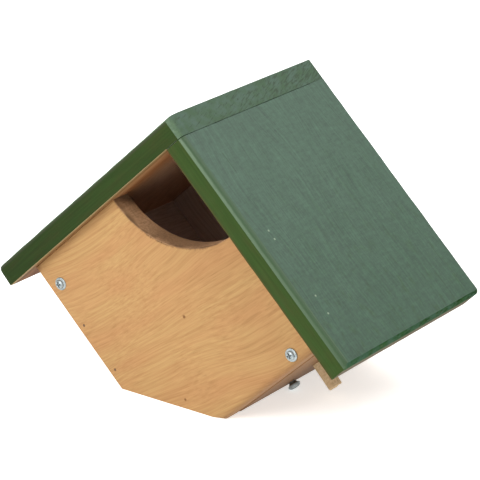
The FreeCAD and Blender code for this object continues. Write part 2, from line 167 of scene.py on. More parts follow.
class WoodSettings(PropertyGroup):
    """Bare and oiled boards."""

    light: FloatVectorProperty(
        name="Early wood", description="Light part of a ring on the front", subtype="COLOR",
        default=linear("#a58355"))
    dark: FloatVectorProperty(
        name="Late wood", description="Dark part of a ring on the front", subtype="COLOR",
        default=linear("#926b43"))
    warm: FloatVectorProperty(
        name="Warm patches", description="Redder patches of oil on the front", subtype="COLOR",
        default=linear("#a37a50"))
    knot: FloatVectorProperty(
        name="Knot", description="Pin knot on the front panel", subtype="COLOR",
        default=linear("#5a3216"))
    door_light: FloatVectorProperty(
        name="Door early wood", description="Light part of a ring on the side boards",
        subtype="COLOR", default=linear("#7d5b39"))
    door_dark: FloatVectorProperty(
        name="Door late wood", description="Dark part of a ring on the side boards",
        subtype="COLOR", default=linear("#684726"))
    sawn: FloatVectorProperty(
        name="Sawn arc", description="Greyed wood in the opening's cut", subtype="COLOR",
        default=linear("#b18b67"))
    sawn_dark: FloatVectorProperty(
        name="Torn fibres", description="Dark torn fibres in the opening's cut", subtype="COLOR",
        default=linear("#543a24"))
    under_light: FloatVectorProperty(
        name="Roof underside", description="Bare wood under the roof", subtype="COLOR",
        default=linear("#aa8e76"))
    under_dark: FloatVectorProperty(
        name="Roof underside rings", description="Late wood under the roof", subtype="COLOR",
        default=linear("#94775f"))
    browned: FloatVectorProperty(
        name="Browned", description="Tint of bare wood that daylight reaches", subtype="COLOR",
        default=linear("#efd4b1"))
    # Painted shade on the bare wood under the eaves, past the front panel.
    eave_shade: FloatVectorProperty(
        name="Greyed", description="Tint of bare wood under the eaves", subtype="COLOR",
        default=linear("#c4bcb3"))
    # Painted shade on the bare wood inside, behind the opening.
    inside_shade: FloatVectorProperty(
        name="Gloom", description="Tint of bare wood inside, behind the opening", subtype="COLOR",
        default=linear("#e1cebc"))
    # Painted light: this tint, times the gain below, lightens the wood far behind the opening.
    clean: FloatVectorProperty(
        name="Clean", description="Tint of clean wood far behind the opening", subtype="COLOR",
        default=linear("#e5f0ff"))
    painted_light_gain: FloatProperty(
        name="Clean gain", description="How many times lighter the clean wood is",
        subtype="FACTOR", default=2.3, min=1.0, max=4.0)
    # Painted shade along the front's rounded door side.
    door_side_shade: FloatVectorProperty(
        name="Beside the door", description="Tint of the front along its door side",
        subtype="COLOR", default=linear("#e5dfdd"))
    # Painted shade: the front darkens towards its right corner.
    right_corner_shade: FloatVectorProperty(
        name="Far side", description="Tint of the front towards its right corner",
        subtype="COLOR", default=linear("#f0efec"))
    # Painted shade: the door darkens towards the wall.
    door_back_shade: FloatVectorProperty(
        name="Door back", description="Tint of the door towards the wall", subtype="COLOR",
        default=linear("#bcbcbc"))
    # The same bare pine as the underside, with tones of its own, raised as painted light bounced up from
    # the panel below.
    overhang: FloatVectorProperty(
        name="Overhang", description="Bare wood under the roof's front overhang", subtype="COLOR",
        default=linear("#876641"))
    overhang_dark: FloatVectorProperty(
        name="Overhang rings", description="Late wood under the overhang", subtype="COLOR",
        default=linear("#745836"))
    # Bare wood, paler than outside so that the dark chamber reads lighter: partly painted light.
    inside_light: FloatVectorProperty(
        name="Inside", description="Bare wood in the nest chamber", subtype="COLOR",
        default=linear("#d4bfb3"))
    inside_dark: FloatVectorProperty(
        name="Inside rings", description="Late wood in the nest chamber", subtype="COLOR",
        default=linear("#bca595"))
    peg: FloatVectorProperty(
        name="Peg", description="Dowel of the pull peg", subtype="COLOR",
        default=linear("#cfb58d"))
    peg_dark: FloatVectorProperty(
        name="Peg streaks", description="Streaks and cut end of the peg", subtype="COLOR",
        default=linear("#ab9067"))
    ease: FloatProperty(
        name="Ease", description="Rounding of a bare edge", unit="LENGTH", default=0.8 * MM)
    tight: FloatProperty(
        name="Tight ease", description="Rounding of an edge that closes against a panel",
        unit="LENGTH", default=0.3 * MM)
    door_ease: FloatProperty(
        name="Door side ease", description="Rounding of the panel's edge beside the door",
        unit="LENGTH", default=4.4 * MM)
    tear: FloatProperty(
        name="Tear", description="Depth of torn fibres at the opening", unit="LENGTH",
        default=1.1 * MM)


class FastenerSettings(PropertyGroup):
    """Screws and pins."""

    zinc: FloatVectorProperty(
        name="Zinc", description="Zinc plate on the screws", subtype="COLOR",
        default=linear("#a9b1b2"))
    zinc_dull: FloatVectorProperty(
        name="Dull zinc", description="Greyed zinc in patches", subtype="COLOR",
        default=linear("#868f92"))
    pin: FloatVectorProperty(
        name="Pin rust", description="Rusty pins in the bare wood", subtype="COLOR",
        default=linear("#6f5541"))
    bright_pin: FloatVectorProperty(
        name="Roof pin", description="Pins with their paint rubbed off", subtype="COLOR",
        default=linear("#788873"))
    head: FloatProperty(
        name="Head", description="Diameter of a screw's head", unit="LENGTH", default=8.5 * MM)
    height: FloatProperty(
        name="Head height", description="Height of a screw's head", unit="LENGTH",
        default=2.6 * MM)
    crown: FloatProperty(
        name="Crown", description="Diameter of the raised middle of a flanged head",
        unit="LENGTH", default=6 * MM)
    collar: FloatProperty(
        name="Collar", description="Height of the cone under the latch screw's head",
        unit="LENGTH", default=2 * MM)
    shank: FloatProperty(
        name="Shank", description="Diameter of a screw's shank", unit="LENGTH", default=4 * MM)
    recess: FloatProperty(
        name="Recess", description="Length of the cross recess", unit="LENGTH", default=3.8 * MM)
    slot: FloatProperty(
        name="Slot", description="Width of the cross recess", unit="LENGTH", default=0.95 * MM)
    depth: FloatProperty(
        name="Recess depth", description="Depth of the cross recess", unit="LENGTH",
        default=1.2 * MM)
    thread: FloatProperty(
        name="Thread", description="Threaded length behind the point", unit="LENGTH",
        default=12 * MM)
    turns: IntProperty(
        name="Turns", description="Turns of the thread", default=7, min=1)
    pin_width: FloatProperty(
        name="Pin width", description="Diameter of a pin", unit="LENGTH", default=1.6 * MM)
    pin_length: FloatProperty(
        name="Pin length", description="Length of a pin", unit="LENGTH", default=30 * MM)


class StageSettings(PropertyGroup):
    """Floor, light and camera."""

    floor: FloatVectorProperty(
        name="Floor", description="Pale floor", subtype="COLOR", default=linear("#f6f6f4"))
    floor_glow: FloatProperty(
        name="Floor glow", description="Light that the floor gives of itself", subtype="FACTOR",
        default=0.62, min=0.0, max=1.0)
    sky: FloatVectorProperty(
        name="Surround", description="White walls of the studio", subtype="COLOR",
        default=linear("#fdfeff"))
    sky_strength: FloatProperty(
        name="Surround strength", description="Light from the studio's walls", subtype="FACTOR",
        default=0.8, min=0.0, max=1.0)
    key_power: FloatProperty(
        name="Key light", description="Soft box before the front", default=22.0, unit="POWER")
    top_power: FloatProperty(
        name="Top light", description="Soft box over the roof", default=13.0, unit="POWER")
    lens: FloatProperty(
        name="Lens", description="Focal length of the camera", default=198.05, unit="CAMERA")
    azimuth: FloatProperty(
        name="Azimuth", description="How far the camera stands to the right of the front",
        subtype="ANGLE", default=math.radians(34.97))
    elevation: FloatProperty(
        name="Elevation", description="How far the camera looks down", subtype="ANGLE",
        default=math.radians(20.54))
    roll: FloatProperty(
        name="Roll", description="How far the camera leans to its side", subtype="ANGLE",
        default=math.radians(1.07))
    distance: FloatProperty(
        name="Distance", description="From the camera to its target", unit="LENGTH", default=1.664)
    target: FloatVectorProperty(
        name="Target", description="Point at the middle of the picture", subtype="TRANSLATION",
        unit="LENGTH", default=(2.0 * MM, -1.0 * MM, 89.9 * MM))


class NestBoxSettings(PropertyGroup):
    """All the settings of the nest box."""

    roof: PointerProperty(name="Roof", description="Painted roof boards", type=RoofSettings)
    wood: PointerProperty(name="Wood", description="Bare and oiled boards", type=WoodSettings)
    fasteners: PointerProperty(
        name="Fasteners", description="Screws and pins", type=FastenerSettings)
    stage: PointerProperty(
        name="Stage", description="Floor, light and camera", type=StageSettings)


def put(tree, kind, inputs=None, **settings):
    """One node with its settings, fed by values or by other nodes' sockets."""
    node = tree.nodes.new(kind)
    for key, setting in settings.items():
        setattr(node, key, setting)
    for key, feed in (inputs or {}).items():
        socket = node.inputs[key]
        for source in feed if isinstance(feed, list) else [feed]:
            if isinstance(source, bpy.types.NodeSocket):
                tree.links.new(source, socket)
            else:
                socket.default_value = source
    return node


# Sockets of a colour Mix node, which has several of the same name.
MIX_A, MIX_B, MIXED = 6, 7, 2


def new_finish(name):
    """A material with its node tree and the shader that its nodes feed."""
    material = bpy.data.materials.new(name)
    material.use_nodes = True
    return material, material.node_tree, material.node_tree.nodes["Principled BSDF"]


def grain_place(tree, turn):
    """Millimetre coordinates with X along the grain, Y and Z across it."""
    spot = put(tree, "ShaderNodeTexCoord").outputs["Object"]
    mapped = put(tree, "ShaderNodeMapping", {
        "Vector": spot, "Rotation": turn, "Scale": (1 / MM, 1 / MM, 1 / MM)})
    return mapped.outputs["Vector"]


def stretched_noise(tree, spot, along, across, detail=3.0, rough=0.55):
    """Noise with features of these sizes in millimetres along and across the grain."""
    sized = put(tree, "ShaderNodeVectorMath", {
        0: spot, 1: (1 / along, 1 / across, 1 / across)}, operation="MULTIPLY")
    return put(tree, "ShaderNodeTexNoise", {
        "Vector": sized.outputs[0], "Scale": 1.0, "Detail": detail, "Roughness": rough}).outputs


# Turns that lay the grain along the left slope, along the right one or from front to back.
SLOPE_UP = (0, PITCH, 0)
SLOPE_DOWN = (0, -PITCH, 0)
INTO_WALL = (0, 0, -math.pi / 2)


def wavering_grain(tree, spot, lay):
    """Grain coordinates laid at an angle and swaying up to 13 mm to each side."""
    lain = put(tree, "ShaderNodeVectorRotate", {
        "Vector": spot, "Angle": lay}, rotation_type="Y_AXIS").outputs[0]
    sway = stretched_noise(tree, lain, 110, 55, detail=1.0)
    aside = put(tree, "ShaderNodeVectorMath", {
        0: sway["Color"], 1: (0.5, 0.5, 0.5)}, operation="SUBTRACT")
    return put(tree, "ShaderNodeVectorMath", {
        0: aside.outputs[0], 1: (0, 26, 26), 2: lain}, operation="MULTIPLY_ADD").outputs[0]


def year_rings(tree, bent, pith, ring, tones):
    """Colour of the wood: warm patches of oil under soft streaks and year rings round the pith."""
    light, dark, warm = tones
    patches = stretched_noise(tree, bent, 60, 16, detail=2.0)["Fac"]
    patchy = put(tree, "ShaderNodeMapRange", {
        "Value": patches, "From Min": 0.36, "From Max": 0.66})
    base = put(tree, "ShaderNodeMix", {
        0: patchy.outputs[0], MIX_A: opaque(light), MIX_B: opaque(warm)}, data_type="RGBA")
    centred = put(tree, "ShaderNodeVectorMath", {0: bent, 1: pith}, operation="ADD")
    # A ring texture repeats every 2 pi / 20 of its own unit.
    rings = put(tree, "ShaderNodeTexWave", {
        "Vector": centred.outputs[0], "Scale": math.pi / 10 / ring, "Distortion": 0.9,
        "Detail": 2.0, "Detail Scale": 0.7}, wave_type="RINGS", rings_direction="X",
        wave_profile="SAW").outputs["Fac"]
    streaks = stretched_noise(tree, bent, 62, 1.3, detail=4.0, rough=0.6)["Fac"]
    late = put(tree, "ShaderNodeMath", {0: rings, 1: 0.16, 2: streaks}, operation="MULTIPLY_ADD")
    depth = put(tree, "ShaderNodeMapRange", {
        "Value": late.outputs[0], "From Min": 0.46, "From Max": 0.84, "To Max": 0.8})
    return put(tree, "ShaderNodeMix", {
        0: depth.outputs[0], MIX_A: base.outputs[MIXED], MIX_B: opaque(dark)},
        data_type="RGBA").outputs[MIXED]


def fibre_shade(tree, fibres):
    """How light the fibres are, with darker dashes where they lie open."""
    shade = put(tree, "ShaderNodeMapRange", {
        "Value": fibres, "From Min": 0.28, "From Max": 0.72, "To Min": 1.06, "To Max": 0.91})
    dashes = put(tree, "ShaderNodeMapRange", {
        "Value": fibres, "From Min": 0.64, "From Max": 0.78, "To Min": 1.0, "To Max": 0.88})
    return put(tree, "ShaderNodeMath", {
        0: shade.outputs[0], 1: dashes.outputs[0]}, operation="MULTIPLY").outputs[0]


def faded(tree, shade, spot, fades):
    """The shade tinted along the board: each fade has its axis, its begin, its end and its tint."""
    for axis, begin, finish, tint in fades:
        along = put(tree, "ShaderNodeSeparateXYZ", {"Vector": spot}).outputs[axis]
        share = put(tree, "ShaderNodeMapRange", {
            "Value": along, "From Min": begin, "From Max": finish}, interpolation_type="SMOOTHSTEP")
        dim = put(tree, "ShaderNodeMix", {
            0: share.outputs[0], MIX_A: (1, 1, 1, 1), MIX_B: opaque(tint)}, data_type="RGBA")
        shade = put(tree, "ShaderNodeVectorMath", {
            0: shade, 1: dim.outputs[MIXED]}, operation="MULTIPLY").outputs[0]
    return shade


def knotted_and_shaded(tree, colour, marks_and_shade):
    """The colour with round marks, knot marks, stains and painted shade: each has its place, its radius
    and its own colour.
    """
    whole = put(tree, "ShaderNodeTexCoord").outputs["Object"]
    for place, radius, knot_colour in marks_and_shade:
        away = put(tree, "ShaderNodeVectorMath", {0: whole, 1: place}, operation="DISTANCE")
        near = put(tree, "ShaderNodeMapRange", {
            "Value": away.outputs["Value"], "From Min": radius * 0.4, "From Max": radius,
            "To Min": 0.75, "To Max": 0.0}, interpolation_type="SMOOTHSTEP")
        colour = put(tree, "ShaderNodeMix", {
            0: near.outputs[0], MIX_A: colour, MIX_B: opaque(knot_colour)},
            data_type="RGBA").outputs[MIXED]
    return colour


def frayed(tree, colour, spot, rim):
    """The colour with a ragged band of torn fibres round the opening, most under its middle."""
    radius, reach, torn_colour = rim
    whole = put(tree, "ShaderNodeTexCoord").outputs["Object"]
    level = put(tree, "ShaderNodeVectorMath", {0: whole, 1: (1, 0, 1)}, operation="MULTIPLY")
    away = put(tree, "ShaderNodeVectorMath", {0: level.outputs[0], 1: RIDGE}, operation="DISTANCE")
    upright = grain_place(tree, (0, 0, 0))
    rag = stretched_noise(tree, upright, 0.8, 3.2, detail=3.0, rough=0.65)["Fac"]
    fray = put(tree, "ShaderNodeMath", {
        0: rag, 1: -reach, 2: away.outputs["Value"]}, operation="MULTIPLY_ADD")
    clumps = stretched_noise(tree, spot, 9, 9, detail=1.0)["Fac"]
    most = put(tree, "ShaderNodeMapRange", {
        "Value": clumps, "From Min": 0.4, "From Max": 0.6, "To Min": 0.45, "To Max": 1.0})
    across = put(tree, "ShaderNodeSeparateXYZ", {"Vector": whole}).outputs["X"]
    aside = put(tree, "ShaderNodeMath", {0: across}, operation="ABSOLUTE")
    foot = put(tree, "ShaderNodeMapRange", {
        "Value": aside.outputs[0], "From Min": 14 * MM, "From Max": 32 * MM,
        "To Min": 1.0, "To Max": 0.25}, interpolation_type="SMOOTHSTEP")
    most = put(tree, "ShaderNodeMath", {
        0: most.outputs[0], 1: foot.outputs[0]}, operation="MULTIPLY")
    torn = put(tree, "ShaderNodeMapRange", {
        "Value": fray.outputs[0], "From Min": radius - 0.44 * reach,
        "From Max": radius - 0.2 * reach, "To Min": most.outputs[0], "To Max": 0.0})
    return put(tree, "ShaderNodeMix", {
        0: torn.outputs[0], MIX_A: colour, MIX_B: opaque(torn_colour)},
        data_type="RGBA").outputs[MIXED]


def softwood(name, turn, pith, tones, ring=3.2, lay=0.0, shine=0.15, fades=(), marks_and_shade=(), rim=None):
    """Planed softwood: the eye sees soft wavering streaks, fine fibres and warm patches of oil.

    Real fibres are finer than the render can show, so they are drawn 0.75 mm wide.
    """
    material, tree, shader = new_finish(name)
    spot = grain_place(tree, turn)
    bent = wavering_grain(tree, spot, lay)
    fibres = stretched_noise(tree, bent, 24, 0.75, detail=3.0, rough=0.6)["Fac"]
    shade = faded(tree, fibre_shade(tree, fibres), spot, fades)
    fibred = put(tree, "ShaderNodeVectorMath", {
        0: year_rings(tree, bent, pith, ring, tones), 1: shade}, operation="MULTIPLY")
    colour = knotted_and_shaded(tree, fibred.outputs[0], marks_and_shade)
    if rim:
        colour = frayed(tree, colour, spot, rim)
    tree.links.new(colour, shader.inputs["Base Color"])
    dull = put(tree, "ShaderNodeMapRange", {
        "Value": fibres, "From Min": 0.3, "From Max": 0.7, "To Min": 0.52, "To Max": 0.68})
    tree.links.new(dull.outputs[0], shader.inputs["Roughness"])
    bump = put(tree, "ShaderNodeBump", {
        "Height": fibres, "Strength": 0.45, "Distance": 0.1 * MM})
    tree.links.new(bump.outputs["Normal"], shader.inputs["Normal"])
    shader.inputs["Specular IOR Level"].default_value = shine
    return material


def sawn_cut(name, light, dark):
    """Saw-cut wood across the grain: dull grey-brown, with dark torn fibres along its front rim and a
    painted roof shadow at its upper ends.
    """
    material, tree, shader = new_finish(name)
    spot = grain_place(tree, (0, 0, 0))
    split = put(tree, "ShaderNodeSeparateXYZ", {"Vector": spot})
    torn = stretched_noise(tree, spot, 1.6, 1.6, detail=5.0, rough=0.7)["Fac"]
    scores = stretched_noise(tree, spot, 1.2, 9, detail=3.0)["Fac"]
    ragged = put(tree, "ShaderNodeMath", {
        0: torn, 1: -8.0, 2: split.outputs["Y"]}, operation="MULTIPLY_ADD")
    front = PANEL_LOW.y / MM
    clumps = stretched_noise(tree, spot, 9, 9, detail=1.0)["Fac"]
    most = put(tree, "ShaderNodeMapRange", {
        "Value": clumps, "From Min": 0.4, "From Max": 0.6, "To Min": 0.2, "To Max": 0.65})
    aside = put(tree, "ShaderNodeMath", {0: split.outputs["X"]}, operation="ABSOLUTE")
    foot = put(tree, "ShaderNodeMapRange", {
        "Value": aside.outputs[0], "From Min": 12, "From Max": 30}, interpolation_type="SMOOTHSTEP")
    stain = put(tree, "ShaderNodeMapRange", {
        "Value": foot.outputs[0], "To Min": 0.55, "To Max": 0.05})
    rim = put(tree, "ShaderNodeMapRange", {
        "Value": ragged.outputs[0], "From Min": front - 2.6, "From Max": front + 1.6,
        "To Min": most.outputs[0], "To Max": stain.outputs[0]})
    smear = put(tree, "ShaderNodeMapRange", {
        "Value": scores, "From Min": 0.35, "From Max": 0.75, "To Min": 0.0, "To Max": 0.4})
    amount = put(tree, "ShaderNodeMath", {
        0: rim.outputs[0], 1: smear.outputs[0]}, operation="MAXIMUM")
    colour = put(tree, "ShaderNodeMix", {
        0: amount.outputs[0], MIX_A: opaque(light), MIX_B: opaque(dark)}, data_type="RGBA")
    # Painted shadow of the roof: the cut is darkest where its ends run in under the roof, reaching
    # further down at the back.
    deep = put(tree, "ShaderNodeMath", {
        0: split.outputs["Y"], 1: 0.5, 2: aside.outputs[0]}, operation="MULTIPLY_ADD")
    roof_shadow = put(tree, "ShaderNodeMapRange", {
        "Value": deep.outputs[0], "From Min": front / 2 + 44, "From Max": front / 2 + 51,
        "To Min": 1.0, "To Max": 0.35}, interpolation_type="SMOOTHSTEP")
    fuzz = put(tree, "ShaderNodeMapRange", {
        "Value": torn, "From Min": 0.35, "From Max": 0.65, "To Min": 0.76, "To Max": 1.16})
    rough = put(tree, "ShaderNodeMath", {
        0: roof_shadow.outputs[0], 1: fuzz.outputs[0]}, operation="MULTIPLY")
    shaded = put(tree, "ShaderNodeVectorMath", {
        0: colour.outputs[MIXED], 1: rough.outputs[0]}, operation="MULTIPLY")
    tree.links.new(shaded.outputs[0], shader.inputs["Base Color"])
    bump = put(tree, "ShaderNodeBump", {
        "Height": torn, "Strength": 0.7, "Distance": 0.3 * MM})
    tree.links.new(bump.outputs["Normal"], shader.inputs["Normal"])
    shader.inputs["Roughness"].default_value = 0.8
    shader.inputs["Specular IOR Level"].default_value = 0.2
    return material


def chalk_and_sheen_green(tree, spot, height, roof):
    """Green paint with a grey bloom towards the ridge, partly chalk and partly painted sheen, and darker
    blots towards the eave.
    """
    patches = stretched_noise(tree, spot, 34, 20, detail=3.0)["Fac"]
    # Painted sheen with the chalk: the grey share grows with the height towards the ridge.
    bloom = put(tree, "ShaderNodeMath", {0: patches, 1: height}, operation="ADD")
    chalk = put(tree, "ShaderNodeMapRange", {
        "Value": bloom.outputs[0], "From Min": 0.4, "From Max": 1.3})
    base = put(tree, "ShaderNodeMix", {
        0: chalk.outputs[0], MIX_A: opaque(roof.top), MIX_B: opaque(roof.chalk_and_sheen)},
        data_type="RGBA")
    blots = stretched_noise(tree, spot, 11, 6, detail=4.0, rough=0.6)["Fac"]
    most = put(tree, "ShaderNodeMapRange", {"Value": height, "To Min": 0.5, "To Max": 0.0})
    green = put(tree, "ShaderNodeMapRange", {
        "Value": blots, "From Min": 0.54, "From Max": 0.68, "To Max": most.outputs[0]})
    return put(tree, "ShaderNodeMix", {
        0: green.outputs[0], MIX_A: base.outputs[MIXED], MIX_B: opaque(roof.band)},
        data_type="RGBA").outputs[MIXED]


def front_wear_and_light(tree, colour, spot, height, roof):
    """The colour with the front arris pale, partly rubbed paint and partly a painted highlight, most
    towards the ridge; behind it a darker band of painted shade, where the round reflects less sheen,
    that ends in a faint pale line, a painted highlight along a ridge of paint."""
    depth = put(tree, "ShaderNodeSeparateXYZ", {"Vector": spot}).outputs["Y"]
    mottle = stretched_noise(tree, spot, 6, 1.4, detail=4.0, rough=0.65)["Fac"]
    ragged = 1.2
    fray = put(tree, "ShaderNodeMath", {
        0: mottle, 1: ragged, 2: depth}, operation="MULTIPLY_ADD").outputs[0]
    front = ROOF_FRONT / MM + ragged / 2
    # Painted shade: a darker band over the rounded arris, where it reflects less sheen.
    band_shade = put(tree, "ShaderNodeMapRange", {
        "Value": fray, "From Min": front + 3.2, "From Max": front + 4.8,
        "To Min": 0.85, "To Max": 0.0})
    band_shaded = put(tree, "ShaderNodeMix", {
        0: band_shade.outputs[0], MIX_A: colour, MIX_B: opaque(roof.band)}, data_type="RGBA")
    # The pale arris is partly rubbed paint and partly a painted highlight, strongest towards the ridge.
    wear = put(tree, "ShaderNodeMapRange", {"Value": height, "To Min": 0.05, "To Max": 0.95})
    rubbed = put(tree, "ShaderNodeMapRange", {
        "Value": fray, "From Min": front + 0.3, "From Max": front + 0.9,
        "To Min": wear.outputs[0], "To Max": 0.0})
    # Painted highlight: a faint pale line near the arris's upper end, fading towards the eave.
    step = put(tree, "ShaderNodeMath", {0: fray, 1: front + 3.4, 2: 0.35}, operation="COMPARE")
    faint = put(tree, "ShaderNodeMapRange", {"Value": height, "To Min": 0.5, "To Max": 0.1})
    lip_highlight = put(tree, "ShaderNodeMath", {
        0: step.outputs[0], 1: faint.outputs[0]}, operation="MULTIPLY")
    pale = put(tree, "ShaderNodeMath", {
        0: rubbed.outputs[0], 1: lip_highlight.outputs[0]}, operation="MAXIMUM")
    return put(tree, "ShaderNodeMix", {
        0: pale.outputs[0], MIX_A: band_shaded.outputs[MIXED], MIX_B: opaque(roof.worn)},
        data_type="RGBA").outputs[MIXED]


def scratched(tree, colour, spot, grain, scratch, roof):
    """The colour with a dark scratch: its middle along the slope, half its length and its depth in Y."""
    along, half, depth = scratch
    split = put(tree, "ShaderNodeSeparateXYZ", {"Vector": spot})
    length = put(tree, "ShaderNodeMath", {
        0: split.outputs["X"], 1: along, 2: half}, operation="COMPARE")
    width = put(tree, "ShaderNodeMath", {
        0: split.outputs["Y"], 1: depth, 2: 0.35}, operation="COMPARE")
    line = put(tree, "ShaderNodeMath", {
        0: length.outputs[0], 1: width.outputs[0]}, operation="MULTIPLY")
    cut = put(tree, "ShaderNodeMath", {0: line.outputs[0], 1: grain}, operation="MULTIPLY")
    return put(tree, "ShaderNodeMix", {
        0: cut.outputs[0], MIX_A: colour, MIX_B: opaque(roof.end_dark)},
        data_type="RGBA").outputs[MIXED]


def top_paint(side, roof):
    """Brushed garden paint, chalked by weather: a grey bloom, partly painted sheen, that thins towards
    the eave, fine lines of grain, and a pale front arris, partly rubbed and partly a painted highlight,
    with a darker band of painted shade behind it.

    Real pores are finer than the render can show, so the lines are drawn about 1 mm wide.
    """
    material, tree, shader = new_finish(f"chalked_green_paint_{side.name}")
    spot = grain_place(tree, side.turn)
    along = put(tree, "ShaderNodeSeparateXYZ", {"Vector": spot}).outputs["X"]
    # Height on the slope, from 0 at the eave to 1 at the ridge.
    height = put(tree, "ShaderNodeMapRange", {
        "Value": along, "From Min": side.span[1], "From Max": side.span[0]}).outputs[0]
    sway = stretched_noise(tree, spot, 90, 40, detail=0.0)
    bent = put(tree, "ShaderNodeVectorMath", {
        0: sway["Color"], 1: (0, 24, 0), 2: spot}, operation="MULTIPLY_ADD").outputs[0]
    grain = stretched_noise(tree, bent, 34, 1.1, detail=4.0, rough=0.6)["Fac"]
    strokes = stretched_noise(tree, spot, 1.3, 7, detail=3.0, rough=0.6)["Fac"]
    lines = put(tree, "ShaderNodeMath", {
        0: strokes, 1: 0.5, 2: grain}, operation="MULTIPLY_ADD").outputs[0]
    shade = put(tree, "ShaderNodeMapRange", {
        "Value": lines, "From Min": 0.5, "From Max": 1.0, "To Min": 0.66, "To Max": 1.34})
    speckle = stretched_noise(tree, spot, 2.6, 1.9, detail=3.0, rough=0.7)["Fac"]
    worn_thin = put(tree, "ShaderNodeMapRange", {
        "Value": speckle, "From Min": 0.3, "From Max": 0.7, "To Min": 0.84, "To Max": 1.16})
    shade = put(tree, "ShaderNodeMath", {
        0: shade.outputs[0], 1: worn_thin.outputs[0]}, operation="MULTIPLY")
    lined = put(tree, "ShaderNodeVectorMath", {
        0: chalk_and_sheen_green(tree, spot, height, roof), 1: shade.outputs[0]}, operation="MULTIPLY")
    colour = front_wear_and_light(tree, lined.outputs[0], spot, height, roof)
    if side.scratch:
        colour = scratched(tree, colour, spot, grain, side.scratch, roof)
    tree.links.new(colour, shader.inputs["Base Color"])
    dull = put(tree, "ShaderNodeMapRange", {
        "Value": lines, "From Min": 0.5, "From Max": 1.0, "To Min": 0.52, "To Max": 0.6})
    tree.links.new(dull.outputs[0], shader.inputs["Roughness"])
    bump = put(tree, "ShaderNodeBump", {
        "Height": lines, "Strength": 0.5, "Distance": 0.1 * MM})
    tree.links.new(bump.outputs["Normal"], shader.inputs["Normal"])
    return material


def edge_paint(side, roof):
    """The same paint on planed edges, less weathered: deep green, thin and brownish in places, with a
    rubbed line along one long edge."""
    material, tree, shader = new_finish(f"deep_green_edge_paint_{side.name}")
    spot = grain_place(tree, side.turn)
    mottle = stretched_noise(tree, spot, 26, 7, detail=4.0, rough=0.6)["Fac"]
    thin = put(tree, "ShaderNodeMapRange", {
        "Value": mottle, "From Min": 0.45, "From Max": 0.75, "To Min": 0.0, "To Max": 0.8})
    base = put(tree, "ShaderNodeMix", {
        0: thin.outputs[0], MIX_A: opaque(roof.edge), MIX_B: opaque(roof.edge_thin)},
        data_type="RGBA")
    streaks = stretched_noise(tree, spot, 40, 1.3, detail=4.0)["Fac"]
    shade = put(tree, "ShaderNodeMapRange", {
        "Value": streaks, "From Min": 0.3, "From Max": 0.7, "To Min": 0.84, "To Max": 1.12})
    split = put(tree, "ShaderNodeSeparateXYZ", {"Vector": spot})
    dim = put(tree, "ShaderNodeMapRange", {
        "Value": split.outputs["X"], "From Min": side.span[0], "From Max": side.span[1],
        "To Min": side.edge_shades[0], "To Max": side.edge_shades[1]})
    shade = put(tree, "ShaderNodeMath", {
        0: shade.outputs[0], 1: dim.outputs[0]}, operation="MULTIPLY")
    lined = put(tree, "ShaderNodeVectorMath", {
        0: base.outputs[MIXED], 1: shade.outputs[0]}, operation="MULTIPLY")
    low, high, at_low, at_high, line_colour = side.rubbed_line
    level = put(tree, "ShaderNodeMath", {
        0: mottle, 1: 1.6, 2: split.outputs["Z"]}, operation="MULTIPLY_ADD")
    rubbed = put(tree, "ShaderNodeMapRange", {
        "Value": level.outputs[0], "From Min": low, "From Max": high,
        "To Min": at_low, "To Max": at_high})
    colour = put(tree, "ShaderNodeMix", {
        0: rubbed.outputs[0], MIX_A: lined.outputs[0], MIX_B: opaque(line_colour)}, data_type="RGBA")
    tree.links.new(colour.outputs[MIXED], shader.inputs["Base Color"])
    bump = put(tree, "ShaderNodeBump", {
        "Height": streaks, "Strength": 0.5, "Distance": 0.15 * MM})
    tree.links.new(bump.outputs["Normal"], shader.inputs["Normal"])
    shader.inputs["Roughness"].default_value = 0.6
    shader.inputs["Specular IOR Level"].default_value = 0.06
    return material


# Turns end grain so that the lines of its rings lie along X, slanting across the board.
RING_SLANT = (-0.34, 0, -math.pi / 2)


def peeled_edge(tree, colour, spot, marks, specks, level, roof):
    """The colour with grey bare wood under a level across the board, and flecks of it all over."""
    across = put(tree, "ShaderNodeSeparateXYZ", {"Vector": spot}).outputs["Z"]
    ragged = put(tree, "ShaderNodeMath", {
        0: marks, 1: -5.0, 2: across}, operation="MULTIPLY_ADD")
    peeled = put(tree, "ShaderNodeMapRange", {
        "Value": ragged.outputs[0], "From Min": level - 3.0, "From Max": level - 2.0,
        "To Min": 0.9, "To Max": 0.0})
    flecks = put(tree, "ShaderNodeMapRange", {
        "Value": specks, "From Min": 0.6, "From Max": 0.7, "To Min": 0.0, "To Max": 0.6})
    amount = put(tree, "ShaderNodeMath", {
        0: peeled.outputs[0], 1: flecks.outputs[0]}, operation="MAXIMUM")
    return put(tree, "ShaderNodeMix", {
        0: amount.outputs[0], MIX_A: colour, MIX_B: opaque(roof.bare)},
        data_type="RGBA").outputs[MIXED]


